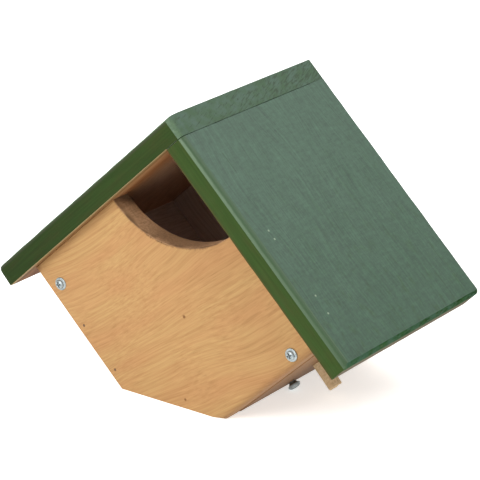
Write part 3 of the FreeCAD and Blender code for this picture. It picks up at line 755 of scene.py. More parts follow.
def end_paint(side, roof):
    """Paint sunk into sawn end grain: blotchy, with dark slanting ring lines, a pale front that is
    partly rubbed paint and partly a painted highlight on its arris and, under a level across the board,
    grey wood where the lower edge lost its paint."""
    material, tree, shader = new_finish(f"sunken_green_end_paint_{side.name}")
    spot = grain_place(tree, side.turn)
    blotch = stretched_noise(tree, spot, 9, 8, detail=4.0, rough=0.6)["Fac"]
    pale = put(tree, "ShaderNodeMapRange", {
        "Value": blotch, "From Min": 0.4, "From Max": 0.62})
    base = put(tree, "ShaderNodeMix", {
        0: pale.outputs[0], MIX_A: opaque(roof.end), MIX_B: opaque(roof.chalk_and_sheen)},
        data_type="RGBA")
    slant = put(tree, "ShaderNodeVectorRotate", {
        "Vector": spot, "Rotation": RING_SLANT}, rotation_type="EULER_XYZ")
    marks = stretched_noise(tree, slant.outputs[0], 7, 1.0, detail=3.0, rough=0.6)["Fac"]
    depth = put(tree, "ShaderNodeSeparateXYZ", {"Vector": spot}).outputs["Y"]
    more = put(tree, "ShaderNodeMapRange", {
        "Value": depth, "From Min": ROOF_FRONT / MM, "From Max": ROOF_BACK / MM,
        "To Min": -0.07, "To Max": 0.05})
    weighed = put(tree, "ShaderNodeMath", {0: marks, 1: more.outputs[0]}, operation="ADD")
    cut = put(tree, "ShaderNodeMapRange", {
        "Value": weighed.outputs[0], "From Min": 0.5, "From Max": 0.62, "To Min": 0.0, "To Max": 0.9})
    scored = put(tree, "ShaderNodeMix", {
        0: cut.outputs[0], MIX_A: base.outputs[MIXED], MIX_B: opaque(roof.end_dark)},
        data_type="RGBA")
    fray = put(tree, "ShaderNodeMath", {0: blotch, 1: 5.0, 2: depth}, operation="MULTIPLY_ADD")
    front = ROOF_FRONT / MM
    specks = stretched_noise(tree, spot, 1.5, 1.1, detail=3.0, rough=0.7)["Fac"]
    left_over = put(tree, "ShaderNodeMapRange", {
        "Value": specks, "From Min": 0.35, "From Max": 0.65, "To Min": 0.25, "To Max": 0.9})
    # The pale front is partly rubbed paint and partly a painted highlight on the rounded arris.
    rubbed = put(tree, "ShaderNodeMapRange", {
        "Value": fray.outputs[0], "From Min": front + 3.2, "From Max": front + 5.4,
        "To Min": left_over.outputs[0], "To Max": 0.0})
    colour = put(tree, "ShaderNodeMix", {
        0: rubbed.outputs[0], MIX_A: scored.outputs[MIXED], MIX_B: opaque(roof.worn)},
        data_type="RGBA").outputs[MIXED]
    if side.worn_below is not None:
        colour = peeled_edge(tree, colour, spot, marks, specks, side.worn_below, roof)
    tree.links.new(colour, shader.inputs["Base Color"])
    bump = put(tree, "ShaderNodeBump", {
        "Height": marks, "Strength": 0.6, "Distance": 0.25 * MM}, invert=True)
    tree.links.new(bump.outputs["Normal"], shader.inputs["Normal"])
    shader.inputs["Roughness"].default_value = side.end_rough
    shader.inputs["Specular IOR Level"].default_value = side.end_shine
    return material


def plated(name, bright, dull, metallic, rough):
    """Bare or plated steel: a soft metal gleam that is duller, and on zinc greyer, in patches."""
    material, tree, shader = new_finish(name)
    spot = grain_place(tree, (0, 0, 0))
    patches = stretched_noise(tree, spot, 1.6, 1.6, detail=3.0)["Fac"]
    amount = put(tree, "ShaderNodeMapRange", {
        "Value": patches, "From Min": 0.4, "From Max": 0.7})
    colour = put(tree, "ShaderNodeMix", {
        0: amount.outputs[0], MIX_A: opaque(bright), MIX_B: opaque(dull)}, data_type="RGBA")
    tree.links.new(colour.outputs[MIXED], shader.inputs["Base Color"])
    sheen = put(tree, "ShaderNodeMapRange", {
        "Value": patches, "From Min": 0.3, "From Max": 0.7, "To Min": rough, "To Max": rough + 0.15})
    tree.links.new(sheen.outputs[0], shader.inputs["Roughness"])
    shader.inputs["Metallic"].default_value = metallic
    return material


def dowel(name, light, dark):
    """Split dowel: pale tan with darker streaks along it and a torn, dull cut end."""
    material, tree, shader = new_finish(name)
    spot = grain_place(tree, (0, math.pi / 2 - PITCH, 0))
    streaks = stretched_noise(tree, spot, 14, 1.1, detail=4.0, rough=0.6)["Fac"]
    amount = put(tree, "ShaderNodeMapRange", {
        "Value": streaks, "From Min": 0.42, "From Max": 0.72})
    colour = put(tree, "ShaderNodeMix", {
        0: amount.outputs[0], MIX_A: opaque(light), MIX_B: opaque(dark)}, data_type="RGBA")
    tree.links.new(colour.outputs[MIXED], shader.inputs["Base Color"])
    bump = put(tree, "ShaderNodeBump", {
        "Height": streaks, "Strength": 0.6, "Distance": 0.3 * MM})
    tree.links.new(bump.outputs["Normal"], shader.inputs["Normal"])
    shader.inputs["Roughness"].default_value = 0.7
    return material


def add_object(name, mesh, materials):
    """A new object at the origin with these materials."""
    piece = bpy.data.objects.new(name, mesh)
    for material in materials:
        mesh.materials.append(material)
    bpy.context.scene.collection.objects.link(piece)
    return piece


def smooth(mesh, degrees=32):
    """Smooth shading that keeps the edges sharper than this angle."""
    mesh.polygons.foreach_set("use_smooth", [True] * len(mesh.polygons))
    mesh.set_sharp_from_angle(angle=math.radians(degrees))


def finish_mesh(name, shape):
    """A mesh from an editing mesh, its faces turned outwards."""
    bmesh.ops.recalc_face_normals(shape, faces=shape.faces)
    mesh = bpy.data.meshes.new(name)
    shape.to_mesh(mesh)
    shape.free()
    smooth(mesh)
    return mesh


def hand_over(piece, body, slot, *nodes):
    """The piece rides on its body and stands for its nodes, which it hides. The slot is not used."""
    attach(piece, body)
    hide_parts(*nodes)


def round_edges(shape, edges, radius, segments):
    """Rounds these edges of an editing mesh."""
    bmesh.ops.bevel(
        shape, geom=edges, offset=radius, offset_type="OFFSET", segments=segments, profile=0.5,
        affect="EDGES", clamp_overlap=True)


def slice_up(shape, direction, start, stop, step):
    """Cuts an editing mesh across, every step along a direction."""
    for number in range(1, int((stop - start) / step) + 1):
        geometry = shape.verts[:] + shape.edges[:] + shape.faces[:]
        bmesh.ops.bisect_plane(
            shape, geom=geometry, dist=1e-7, plane_co=direction * (start + number * step),
            plane_no=direction)


# Finishes of a roof board, in the order of its material slots. Only the left one has a bare arris.
TOP, EDGE, END, UNDERSIDE, OVERHANG, BARE_ARRIS = range(6)

# Width of the left board's pale front lower arris: bare wood with painted light bounced from the panel
# below.
ARRIS_WIDTH = 3 * MM

# Spacing of the cuts that let a roof board's faces waver.
ROOF_STEP = 5 * MM


def left_side(roof):
    """Shape and wear of the left roof board, which laps over the end of the right one.

    Its corners go round its end, inner ones first. Its span says where the ridge and the eave lie along
    the grain, in millimetres. It shows bare wood along the lower edges of its front and back.
    """
    high = RIDGE.dot(UP_RIGHT) / MM
    upper = (RIDGE.dot(LEFT_OUT) + ROOF_THICK - roof.plane_depth) / MM
    eave = RIDGE - UP_RIGHT * ROOF_REACH
    return SimpleNamespace(
        name="left", corners=[eave, LAP, APEX, eave + LEFT_OUT * ROOF_THICK],
        ridge_edge=(1, 2), eave_edge=(3, 0), joint=1, planed=True, bare=EDGE,
        along=UP_RIGHT, out=LEFT_OUT, turn=SLOPE_UP, span=(high, high - ROOF_REACH / MM),
        edge_shades=(0.78, 0.58), rubbed_line=(upper - 1.4, upper, 0.0, 0.5, roof.dust),
        end_shine=0.5, end_rough=0.62, worn_below=None, scratch=None)


def right_side(roof):
    """Shape and wear of the right roof board, which butts against the left one.

    It shows bare wood along the lower edge of its eave, and has a scratch near the ridge.
    """
    high = RIDGE.dot(UP_RIGHT) / MM
    lower = RIDGE.dot(RIGHT_OUT) / MM
    gap = DOWN_RIGHT * roof.joint_gap
    eave = RIDGE + DOWN_RIGHT * ROOF_REACH
    return SimpleNamespace(
        name="right", corners=[RIDGE + gap, eave, eave + RIGHT_OUT * ROOF_THICK, LAP + gap],
        ridge_edge=(2, 3), eave_edge=(2, 1), joint=3, planed=False, bare=END,
        along=-DOWN_RIGHT, out=RIGHT_OUT, turn=SLOPE_DOWN, span=(-high, ROOF_REACH / MM - high),
        edge_shades=(0.98, 0.97), rubbed_line=(lower + 0.9, lower + 2.6, 0.75, 0.0, roof.brown),
        end_shine=0.03, end_rough=0.95, worn_below=lower + 10,
        scratch=(27.0 - high, 7.0, ROOF_FRONT / MM + 23.2))


def plane_front(shape, out, roof):
    """Planes a board's upper front edge down in a round."""
    slice_up(shape, WALL, ROOF_FRONT, ROOF_FRONT + roof.plane_width, roof.plane_width / 8)
    for vert in shape.verts:
        share = 1 - (vert.co.y - ROOF_FRONT) / roof.plane_width
        if (vert.co - RIDGE).dot(out) > ROOF_THICK / 2 and share > 0:
            vert.co -= out * roof.plane_depth * (1 - math.sqrt(1 - min(share, 1.0) ** 2))


def wear_edges(shape, axes, waver):
    """Makes a board uneven: its edges most, its flat faces a quarter as much."""
    shape.normal_update()
    moves = []
    for vert in shape.verts:
        flatness = max(abs(vert.normal.dot(axis)) for axis in axes)
        worn = 1.0 if flatness < 0.97 else 0.25
        moves.append(vert.normal * waver * worn * noise.noise(vert.co / (9 * MM)))
    for vert, move in zip(shape.verts, moves):
        vert.co += move


def roof_finish(face, side):
    """The finish of a roof board's face, from the way that it leans and where it lies."""
    middle = face.calc_center_median()
    past_ridge = (middle - RIDGE).dot(side.along)
    up = face.normal.dot(side.out)
    front = abs(face.normal.y)
    end = abs(face.normal.dot(side.along))
    # Leans are cosines: 1 for a face that looks straight that way, 0 for one at right angles to it.
    leans = {TOP: up, EDGE: front, END: end, UNDERSIDE: -up}
    if up > 0.12 and end < 0.15:
        return TOP
    if up > 0.05 and front < 0.5:
        return END
    if front > 0.12 and end > 0.12 and past_ridge > 0:
        return END
    if side.planed and up < -0.3 and middle.y < ROOF_FRONT + ARRIS_WIDTH and past_ridge < 0:
        return BARE_ARRIS
    if leans[side.bare] > 0.3 and up < -0.3 and past_ridge < -5 * MM:
        return OVERHANG
    if up < -0.9 and past_ridge > 0:
        return END
    if up < -0.9 and middle.y < PANEL_LOW.y:
        return OVERHANG
    return max(leans, key=leans.get)


def roof_board(name, side, roof):
    """A roof board with rounded arrises, a planed front on the left one and uneven worn edges."""
    shape = bmesh.new()
    rows = [[shape.verts.new((c.x, y, c.z)) for c in side.corners] for y in (ROOF_FRONT, ROOF_BACK)]
    front, back = rows
    shape.faces.new(front)
    shape.faces.new(reversed(back))
    for i in range(len(front)):
        j = (i + 1) % len(front)
        shape.faces.new((front[j], front[i], back[i], back[j]))
    bmesh.ops.recalc_face_normals(shape, faces=shape.faces)
    upper, lower = side.ridge_edge
    outer, inner = side.eave_edge
    arrises = [shape.edges.get((row[upper], row[lower])) for row in rows]
    arrises.append(shape.edges.get((front[outer], back[outer])))
    arrises.append(shape.edges.get((back[outer], back[inner])))
    round_edges(shape, arrises, roof.arris, 6)
    # The edge at the ridge joint stays sharp, because it lies against the other board.
    joint = side.corners[side.joint]
    tight = [v for v in shape.verts if math.dist(v.co.xz, joint.xz) < roof.ease]
    sharp = [
        e for e in shape.edges
        if e.calc_face_angle(0) > math.radians(50) and not all(v in tight for v in e.verts)]
    round_edges(shape, sharp, roof.ease, 2)
    spans = [c.dot(side.along) for c in side.corners]
    slice_up(shape, side.along, min(spans), max(spans), ROOF_STEP)
    slice_up(shape, WALL, ROOF_FRONT, ROOF_BACK, ROOF_STEP)
    if side.planed:
        plane_front(shape, side.out, roof)
    wear_edges(shape, (side.along, side.out, WALL), roof.waver)
    for face in shape.faces:
        face.material_index = roof_finish(face, side)
    return finish_mesh(name, shape)


def roof_finishes(side, roof, wood):
    """Materials of a roof board, in the order of its finishes."""
    front = PANEL_LOW.y / MM
    slope = math.copysign(1, side.span[1] - side.span[0])
    corner = side.span[0] + slope * PANEL_SIDE / MM
    pith = (0, 40, 30)
    under = (wood.under_light, wood.under_dark, wood.under_light)
    overhang = (wood.overhang, wood.overhang_dark, wood.overhang)
    # Painted shade: the underside darkens past the panel's side, out under the eave.
    past_panel = ("X", corner - slope * 8, corner + slope * 4, wood.eave_shade)
    # Behind the front panel the wood is browned near the front, then darkened as painted shade, and far
    # inside lightened again as painted light.
    behind = [("Y", front + 34, front + 10, wood.browned),
              ("Y", front + 1, front + 14, wood.inside_shade),
              ("Y", front + 18, front + 70, [c * wood.painted_light_gain for c in wood.clean])]
    finishes = [
        top_paint(side, roof), edge_paint(side, roof), end_paint(side, roof),
        softwood(f"bare_pine_underside_{side.name}", side.turn, pith, under, ring=4.0, shine=0.05,
                 fades=[past_panel] + behind),
        softwood(f"bare_pine_overhang_{side.name}", side.turn, pith, overhang, ring=4.0, shine=0.05,
                 fades=[past_panel]),
    ]
    if side.planed:
        # The pale arris is bare wood with painted light bounced from the panel below.
        pale = (roof.bare_and_lit_arris, wood.under_dark, roof.bare_and_lit_arris)
        finishes.append(softwood("bare_pine_arris", side.turn, pith, pale, shine=0.05))
    return finishes


class NESTBOX_OT_roof_boards(Operator):
    """Make the two painted roof boards that lap at the ridge"""

    bl_idname = "nestbox.roof_boards"
    bl_label = "Roof boards"

    def execute(self, context):
        settings = context.scene.nest_box
        roof, wood = settings.roof, settings.wood
        for side in (left_side(roof), right_side(roof)):
            name = f"{side.name}_painted_roof"
            piece = add_object(name, roof_board(name, side, roof), roof_finishes(side, roof, wood))
            hand_over(piece, "house", "roof_paint", f"{side.name}_roof_board")
        return {"FINISHED"}


# Corners of the front panel in the order of its outline, which its arc's points then close. The
# rounding beside the door runs out between EASE_START and RIGHT_FOOT.
LEFT_CORNER, LEFT_FOOT, EASE_START, RIGHT_FOOT, RIGHT_CORNER = range(5)
ARC_START = RIGHT_CORNER + 1
ARC_STEPS = 72
EASE_STEPS = 7

# Finishes of the front panel, in the order of its material slots.
OILED, SAWN, INSIDE = range(3)

# Pin knots on the front panel: across, up and radius.
PIN_KNOTS = ((8.8 * MM, 61.3 * MM, 1.5 * MM), (10.5 * MM, 6.3 * MM, 1.2 * MM))

# Radius of the shade on the panel's left corner, under the eave.
CORNER_SHADE = 6 * MM

# Room between a fastener and its hole.
HOLE_PLAY = 0.1 * MM

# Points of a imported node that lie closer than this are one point.
WELD = 0.005 * MM


def panel_outline():
    """Corners of the front panel and the points of its arc, from the left corner round."""
    low = PANEL_LOW.z
    corner_high = RIDGE.z - PANEL_SIDE * math.sin(PITCH)
    foot = PANEL_HIGH.x - (corner_high - low) / math.tan(PITCH)
    points = [
        Vector((x, 0, z)) for x, z in (
            (-PANEL_HIGH.x, corner_high), (-foot, low), (0.8 * foot, low), (foot, low),
            (PANEL_HIGH.x, corner_high))]
    for step in range(ARC_STEPS + 1):
        angle = -PITCH - (math.pi - 2 * PITCH) * step / ARC_STEPS
        points.append(RIDGE + Vector((math.cos(angle), 0, math.sin(angle))) * OPENING)
    return points


def inset(points, amounts):
    """The outline drawn in by these amounts, square to its edges."""
    drawn = []
    for i, point in enumerate(points):
        before = (point - points[i - 1]).normalized()
        after = (points[(i + 1) % len(points)] - point).normalized()
        inward_before = Vector((-before.z, 0, before.x))
        inward_after = Vector((-after.z, 0, after.x))
        middle = (inward_before + inward_after).normalized()
        # The least of 0.35 keeps the mitre of a sharp corner short.
        drawn.append(point + middle * amounts[i] / max(middle.dot(inward_after), 0.35))
    return drawn


def ring_of_points(centre, radius, count=20):
    """Points round a hole, seen from the front."""
    turns = [2 * math.pi * i / count for i in range(count)]
    return [centre + Vector((math.cos(t), 0, math.sin(t))) * radius for t in turns]


def add_ring(shape, points, depths):
    """Vertices and closing edges of one outline, each point at its depth."""
    verts = [shape.verts.new((p.x, y, p.z)) for p, y in zip(points, depths)]
    for i, vert in enumerate(verts):
        shape.edges.new((verts[i - 1], vert))
    return verts


def bridge(shape, first, second, index):
    """A band of faces between two rings."""
    for i in range(len(first)):
        face = shape.faces.new((first[i - 1], first[i], second[i], second[i - 1]))
        face.material_index = index


def fastener_line(node, aim):
    """A fastener's head and tip on its axis, where aim points out of the wood."""
    return line_of([v.co for v in frame["nodes"][node].data.vertices], aim)


def line_of(points, aim):
    """The head and tip of a round body with these points."""
    side = aim.orthogonal().normalized()
    other = aim.cross(side)
    centre = Vector((0, 0, 0))
    for axis in (side, other):
        spans = [p.dot(axis) for p in points]
        centre += axis * (min(spans) + max(spans)) / 2
    spans = [p.dot(aim) for p in points]
    return centre + aim * max(spans), centre + aim * min(spans)


def islands(node):
    """Points of each separate solid in a node."""
    shape = bmesh.new()
    shape.from_mesh(frame["nodes"][node].data)
    bmesh.ops.remove_doubles(shape, verts=shape.verts, dist=WELD)
    left = set(shape.verts)
    found = []
    while left:
        group, edge = set(), [left.pop()]
        while edge:
            vert = edge.pop()
            group.add(vert)
            near = {e.other_vert(vert) for e in vert.link_edges} & left
            left -= near
            edge += near
        found.append([v.co.copy() for v in group])
    shape.free()
    return sorted(found, key=lambda g: tuple(round(c, 5) for c in min(g, key=lambda p: tuple(p))))


def in_side_board(head):
    """True for a pin that shows in the front: the wood has closed over the floor's pins."""
    return head.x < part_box("floor_board")[0].x


def torn_back(points, tear):
    """How far the saw tore the fibres back at each point: unevenly along the arc, elsewhere not."""
    depths = [0.0] * len(points)
    for i in range(ARC_START + 1, len(points) - 1):
        rag = abs(noise.noise(points[i] / (2.2 * MM))) + 0.5 * noise.noise(points[i] / (7 * MM))
        depths[i] = tear * max(rag, 0.0)
    return depths


def panel_rings(shape, points, wood):
    """Rings of the panel's edge from front to back: eased at the front and torn along the arc."""
    front, back = PANEL_LOW.y, PANEL_HIGH.y
    tears = torn_back(points, wood.tear)
    rounds = [wood.ease] * len(points)
    for corner in (RIGHT_FOOT, RIGHT_CORNER):
        rounds[corner] = wood.door_ease
    rings = []
    for step in range(EASE_STEPS + 1):
        turn = math.pi / 2 * step / EASE_STEPS
        left = (1 - step / EASE_STEPS) ** 2
        amounts = [r * (1 - math.sin(turn)) + t * left for r, t in zip(rounds, tears)]
        depths = [front + r * (1 - math.cos(turn)) for r in rounds]
        rings.append(add_ring(shape, inset(points, amounts), depths))
    for y, amount in ((back - wood.tight, 0.0), (back, wood.tight)):
        rings.append(add_ring(shape, inset(points, [amount] * len(points)), [y] * len(points)))
    return rings


def front_holes(fasteners):
    """Middle and radius of each hole in the front panel whose screw or pin shows."""
    screws = [fastener_line(node, FRONT)[0] for node in ("left_front_screw", "front_pivot_screw")]
    pins = [line_of(solid, FRONT)[0] for solid in islands("front_panel_pins")]
    holes = [(head, fasteners.shank / 2 + HOLE_PLAY) for head in screws]
    holes += [(head, fasteners.pin_width / 2 + HOLE_PLAY) for head in pins if in_side_board(head)]
    return holes


def front_panel(name, points, settings):
    """The front panel with its bored holes and the sawn cut of its opening."""
    shape = bmesh.new()
    rings = panel_rings(shape, points, settings.wood)
    bores = []
    for centre, radius in front_holes(settings.fasteners):
        spots = ring_of_points(centre, radius)
        depths = (PANEL_LOW.y, PANEL_HIGH.y)
        bores.append([add_ring(shape, spots, [y] * len(spots)) for y in depths])
    for ring, following in zip(rings, rings[1:]):
        bridge(shape, ring, following, OILED)
    for bore in bores:
        bridge(shape, *bore, SAWN)
    for level, index in ((0, OILED), (-1, INSIDE)):
        loops = [rings[level]] + [bore[level] for bore in bores]
        edges = [shape.edges.get((loop[i - 1], loop[i])) for loop in loops for i in range(len(loop))]
        made = bmesh.ops.triangle_fill(shape, edges=edges, use_beauty=True, use_dissolve=False)
        for item in made["geom"]:
            if isinstance(item, bmesh.types.BMFace):
                item.material_index = index
    # The faces along the arc show the saw's cut.
    for face in shape.faces:
        middle = face.calc_center_median() - RIDGE
        if face.material_index == OILED and math.hypot(middle.x, middle.z) < OPENING + 0.3 * MM:
            face.material_index = SAWN
    return finish_mesh(name, shape)


def front_finishes(points, wood):
    """Materials of the front panel, in the order of its finishes."""
    tones = (wood.light, wood.dark, wood.warm)
    inside = (wood.inside_light, wood.inside_dark, wood.inside_light)
    marks_and_shade = [((x, PANEL_LOW.y, z), radius, wood.knot) for x, z, radius in PIN_KNOTS]
    corner = points[LEFT_CORNER]
    # Painted shade in the panel's left corner, under the eave, drawn as one more round mark.
    marks_and_shade.append(((corner.x, PANEL_LOW.y, corner.z), CORNER_SHADE, wood.door_light))
    rim = (OPENING, 4.2 * MM, wood.sawn_dark)
    door_side = points[RIGHT_CORNER].dot(LEFT_OUT) / MM
    right_end = points[RIGHT_CORNER].dot(UP_RIGHT) / MM
    # Painted shade beside the door and towards the right corner.
    fades = [("Z", door_side + 6, door_side, wood.door_side_shade),
             ("X", right_end - 90, right_end - 10, wood.right_corner_shade)]
    return [
        softwood("oiled_pine_front", SLOPE_UP, (0, 60, -140), tones, lay=-0.15, fades=fades,
                 marks_and_shade=marks_and_shade, rim=rim),
        sawn_cut("sawn_pine_arc", wood.sawn, wood.sawn_dark),
        softwood("bare_pine_inside_front", SLOPE_UP, (0, 40, -60), inside),
    ]


class NESTBOX_OT_front_panel(Operator):
    """Make the front panel with its torn opening and its bored holes"""

    bl_idname = "nestbox.front_panel"
    bl_label = "Front panel"

    def execute(self, context):
        settings = context.scene.nest_box
        name = "oiled_front_panel"
        points = panel_outline()
        mesh = front_panel(name, points, settings)
        piece = add_object(name, mesh, front_finishes(points, settings.wood))
        hand_over(piece, "house", "panel_wood", "front_panel")
        return {"FINISHED"}


def eased_copy(name, node, ease):
    """A node's mesh with its loose triangles joined and its long sharp edges eased."""
    shape = bmesh.new()
    shape.from_mesh(frame["nodes"][node].data)
    bmesh.ops.remove_doubles(shape, verts=shape.verts, dist=WELD)
    bmesh.ops.dissolve_limit(
        shape, angle_limit=math.radians(0.5), verts=shape.verts, edges=shape.edges)
    # Faces towards the nest chamber take the second material, apart from those in small holes.
    for face in shape.faces:
        inward = (CHAMBER - face.calc_center_median()).normalized()
        small = face.calc_area() < 40 * MM * MM
        face.material_index = int(face.normal.dot(inward) > 0.55 and not small)
    edges = [
        e for e in shape.edges
        if e.is_convex and e.calc_length() > 8 * MM and e.calc_face_angle(0) > math.radians(40)
        and not any(f.material_index for f in e.link_faces)]
    round_edges(shape, edges, ease, 2)
    return finish_mesh(name, shape)


class NESTBOX_OT_bare_boards(Operator):
    """Make the back panel, the left side board, the floor and the cleaning door"""

    bl_idname = "nestbox.bare_boards"
    bl_label = "Bare boards"

    def execute(self, context):
        wood = context.scene.nest_box.wood
        panel = (wood.light, wood.dark, wood.warm)
        side = (wood.door_light, wood.door_dark, wood.door_light)
        inside = (wood.inside_light, wood.inside_dark, wood.inside_light)
        # Painted shade on the door, darker towards the wall.
        door_shade_fades = [("X", PANEL_HIGH.y / MM, ROOF_BACK / MM, wood.door_back_shade)]
        for node, body, slot, turn, tones, pith, ease, fades in (
            ("back_panel", "house", "panel_wood", SLOPE_DOWN, panel, (0, -30, 45), wood.ease, ()),
            ("left_side_board", "house", "panel_wood", INTO_WALL, side, (0, 30, -60), wood.tight, ()),
            ("floor_board", "house", "panel_wood", INTO_WALL, panel, (0, 12, 55), wood.ease, ()),
            ("cleaning_door", "door", "door_wood", INTO_WALL, side, (0, -52, 36), wood.tight,
             door_shade_fades),
        ):
            mesh = eased_copy(f"eased_{node}", node, ease)
            piece = add_object(f"eased_{node}", mesh, [
                softwood(f"oiled_pine_{node}", turn, pith, tones, fades=fades),
                softwood(f"bare_pine_inside_{node}", turn, pith, inside),
            ])
            hand_over(piece, body, slot, node)
        return {"FINISHED"}


# Rows of the peg's side as shares of its length, closer together towards its rough end.
PEG_LEVELS = (0.0, 0.3, 0.55, 0.7, 0.8, 0.88, 0.94, 0.975, 1.0)
PEG_SIDES = 36


def pull_peg(name):
    """A slightly faceted dowel whose outer end is ragged, chipped and hollow."""
    head, tip = fastener_line("door_pull_peg", LATCH_AXIS)
    low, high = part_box("door_pull_peg")
    radius = (high.y - low.y) / 2
    across = LATCH_AXIS.cross(WALL)
    shape = bmesh.new()
    rows = []
    for level in PEG_LEVELS:
        row = []
        for i in range(PEG_SIDES):
            turn = 2 * math.pi * i / PEG_SIDES
            out = WALL * math.cos(turn) + across * math.sin(turn)
            spot = tip + (head - tip) * level
            facet = 1 - 0.05 * abs(noise.noise(out * 1.7)) * level
            # From nothing at four fifths of the length to the whole at its end.
            near_end = max(level - 0.8, 0) * 5
            rag = 0.9 * MM * abs(noise.noise(out * 2.6 + Vector((3, 1, 7)))) * near_end
            chip = 1.0 if level < 1.0 else 0.9 + 0.06 * noise.noise(out * 4)
            row.append(shape.verts.new(spot + out * radius * facet * chip - LATCH_AXIS * rag))
        rows.append(row)
    for share in (0.66, 0.33):
        row = []
        for vert in rows[len(PEG_LEVELS) - 1]:
            flat = head + (vert.co - head) * share
            rough = noise.noise(flat / (1.7 * MM)) * 0.45 * MM
            row.append(shape.verts.new(flat - LATCH_AXIS * (0.3 * MM + rough)))
        rows.append(row)
    for lower, upper in zip(rows, rows[1:]):
        for i in range(PEG_SIDES):
            shape.faces.new((lower[i - 1], lower[i], upper[i], upper[i - 1]))
    shape.faces.new(rows[-1])
    shape.faces.new(reversed(rows[0]))
    return finish_mesh(name, shape)


class NESTBOX_OT_pull_peg(Operator):
    """Make the door's pull peg with its rough cut end"""

    bl_idname = "nestbox.pull_peg"
    bl_label = "Pull peg"

    def execute(self, context):
        wood = context.scene.nest_box.wood
        finish = dowel("split_dowel", wood.peg, wood.peg_dark)
        piece = add_object("rough_cut_peg", pull_peg("rough_cut_peg"), [finish])
        hand_over(piece, "door", "peg_wood", "door_pull_peg")
        return {"FINISHED"}


def start_tree(name, inputs):
    """A geometry tree with these named inputs, its group input and its output."""
    tree = bpy.data.node_groups.new(name, "GeometryNodeTree")
    tree.interface.new_socket("Geometry", in_out="INPUT", socket_type="NodeSocketGeometry")
    for label, kind in inputs:
        tree.interface.new_socket(label, in_out="INPUT", socket_type=kind)
    tree.interface.new_socket("Geometry", in_out="OUTPUT", socket_type="NodeSocketGeometry")
    return tree, put(tree, "NodeGroupInput"), put(tree, "NodeGroupOutput")


def bake(name, tree, points, values):
    """Runs a tree on points, each with turn, stretch and tip, and returns the plain mesh."""
    mesh = bpy.data.meshes.new(f"{name}_points")
    mesh.from_pydata([p for p, turn, stretch, tip in points], [], [])
    turns = mesh.attributes.new("turn", "FLOAT_VECTOR", "POINT")
    turns.data.foreach_set("vector", [c for p, turn, stretch, tip in points for c in turn])
    stretches = mesh.attributes.new("stretch", "FLOAT", "POINT")
    stretches.data.foreach_set("value", [stretch for p, turn, stretch, tip in points])
    tips = mesh.attributes.new("tip", "BOOLEAN", "POINT")
    tips.data.foreach_set("value", [tip for p, turn, stretch, tip in points])
    host = bpy.data.objects.new(f"{name}_points", mesh)
    modifier = host.modifiers.new("fasteners", "NODES")
    modifier.node_group = tree
    for item in tree.interface.items_tree:
        if item.in_out == "INPUT" and item.name in values:
            modifier[item.identifier] = values[item.name]
    bpy.context.scene.collection.objects.link(host)
    graph = bpy.context.evaluated_depsgraph_get()
    made = bpy.data.meshes.new_from_object(host.evaluated_get(graph), depsgraph=graph)
    host.modifiers.remove(modifier)
    bpy.data.objects.remove(host)
    made.name = name
    made.materials.clear()
    smooth(made)
    return made


def spread(tree, source, solid, pick, stretch=None):
    """Instances of a solid on the points that are picked, turned as each point says."""
    turn = put(tree, "GeometryNodeInputNamedAttribute", {"Name": "turn"}, data_type="FLOAT_VECTOR")
    rotation = put(tree, "FunctionNodeEulerToRotation", {"Euler": turn.outputs["Attribute"]})
    feeds = {
        "Points": source, "Instance": solid, "Rotation": rotation.outputs[0], "Selection": pick}
    if stretch:
        feeds["Scale"] = stretch
    return put(tree, "GeometryNodeInstanceOnPoints", feeds).outputs["Instances"]


def drawn_pan(tree, radius, height, spread_power, crown_power):
    """A sphere drawn out square into a pan, its lower half laid flat as the seat."""
    ball = put(tree, "GeometryNodeMeshUVSphere", {"Segments": 40, "Rings": 28, "Radius": 1.0})
    place = put(tree, "GeometryNodeInputPosition")
    parts = put(tree, "ShaderNodeSeparateXYZ", {"Vector": place.outputs[0]})
    level = put(tree, "ShaderNodeCombineXYZ", {"X": parts.outputs["X"], "Y": parts.outputs["Y"]})
    away = put(tree, "ShaderNodeVectorMath", {0: level.outputs[0]}, operation="LENGTH")
    safe = put(tree, "ShaderNodeMath", {0: away.outputs["Value"], 1: 0.001}, operation="MAXIMUM")
    push = put(tree, "ShaderNodeMath", {0: safe.outputs[0], 1: spread_power}, operation="POWER")
    wide = put(tree, "ShaderNodeMath", {0: push.outputs[0], 1: radius}, operation="MULTIPLY")
    spread_out = put(tree, "ShaderNodeVectorMath", {
        0: level.outputs[0], "Scale": wide.outputs[0]}, operation="SCALE")
    above = put(tree, "ShaderNodeMath", {0: parts.outputs["Z"], 1: 0.0}, operation="MAXIMUM")
    crown = put(tree, "ShaderNodeMath", {0: above.outputs[0], 1: crown_power}, operation="POWER")
    tall = put(tree, "ShaderNodeMath", {0: crown.outputs[0], 1: height}, operation="MULTIPLY")
    lift = put(tree, "ShaderNodeCombineXYZ", {"Z": tall.outputs[0]})
    spot = put(tree, "ShaderNodeVectorMath", {
        0: spread_out.outputs[0], 1: lift.outputs[0]}, operation="ADD")
    pan = put(tree, "GeometryNodeSetPosition", {
        "Geometry": ball.outputs["Mesh"], "Position": spot.outputs[0]})
    return pan.outputs["Geometry"]


# A screw's point: its length and the radius of its blunt tip.
SCREW_POINT = 4 * MM
SCREW_TIP = 0.2 * MM

# Height of the flange round a screw's head, and radius of the three-sided ridge of its thread.
FLANGE = 1 * MM
THREAD_RIDGE = 0.42 * MM


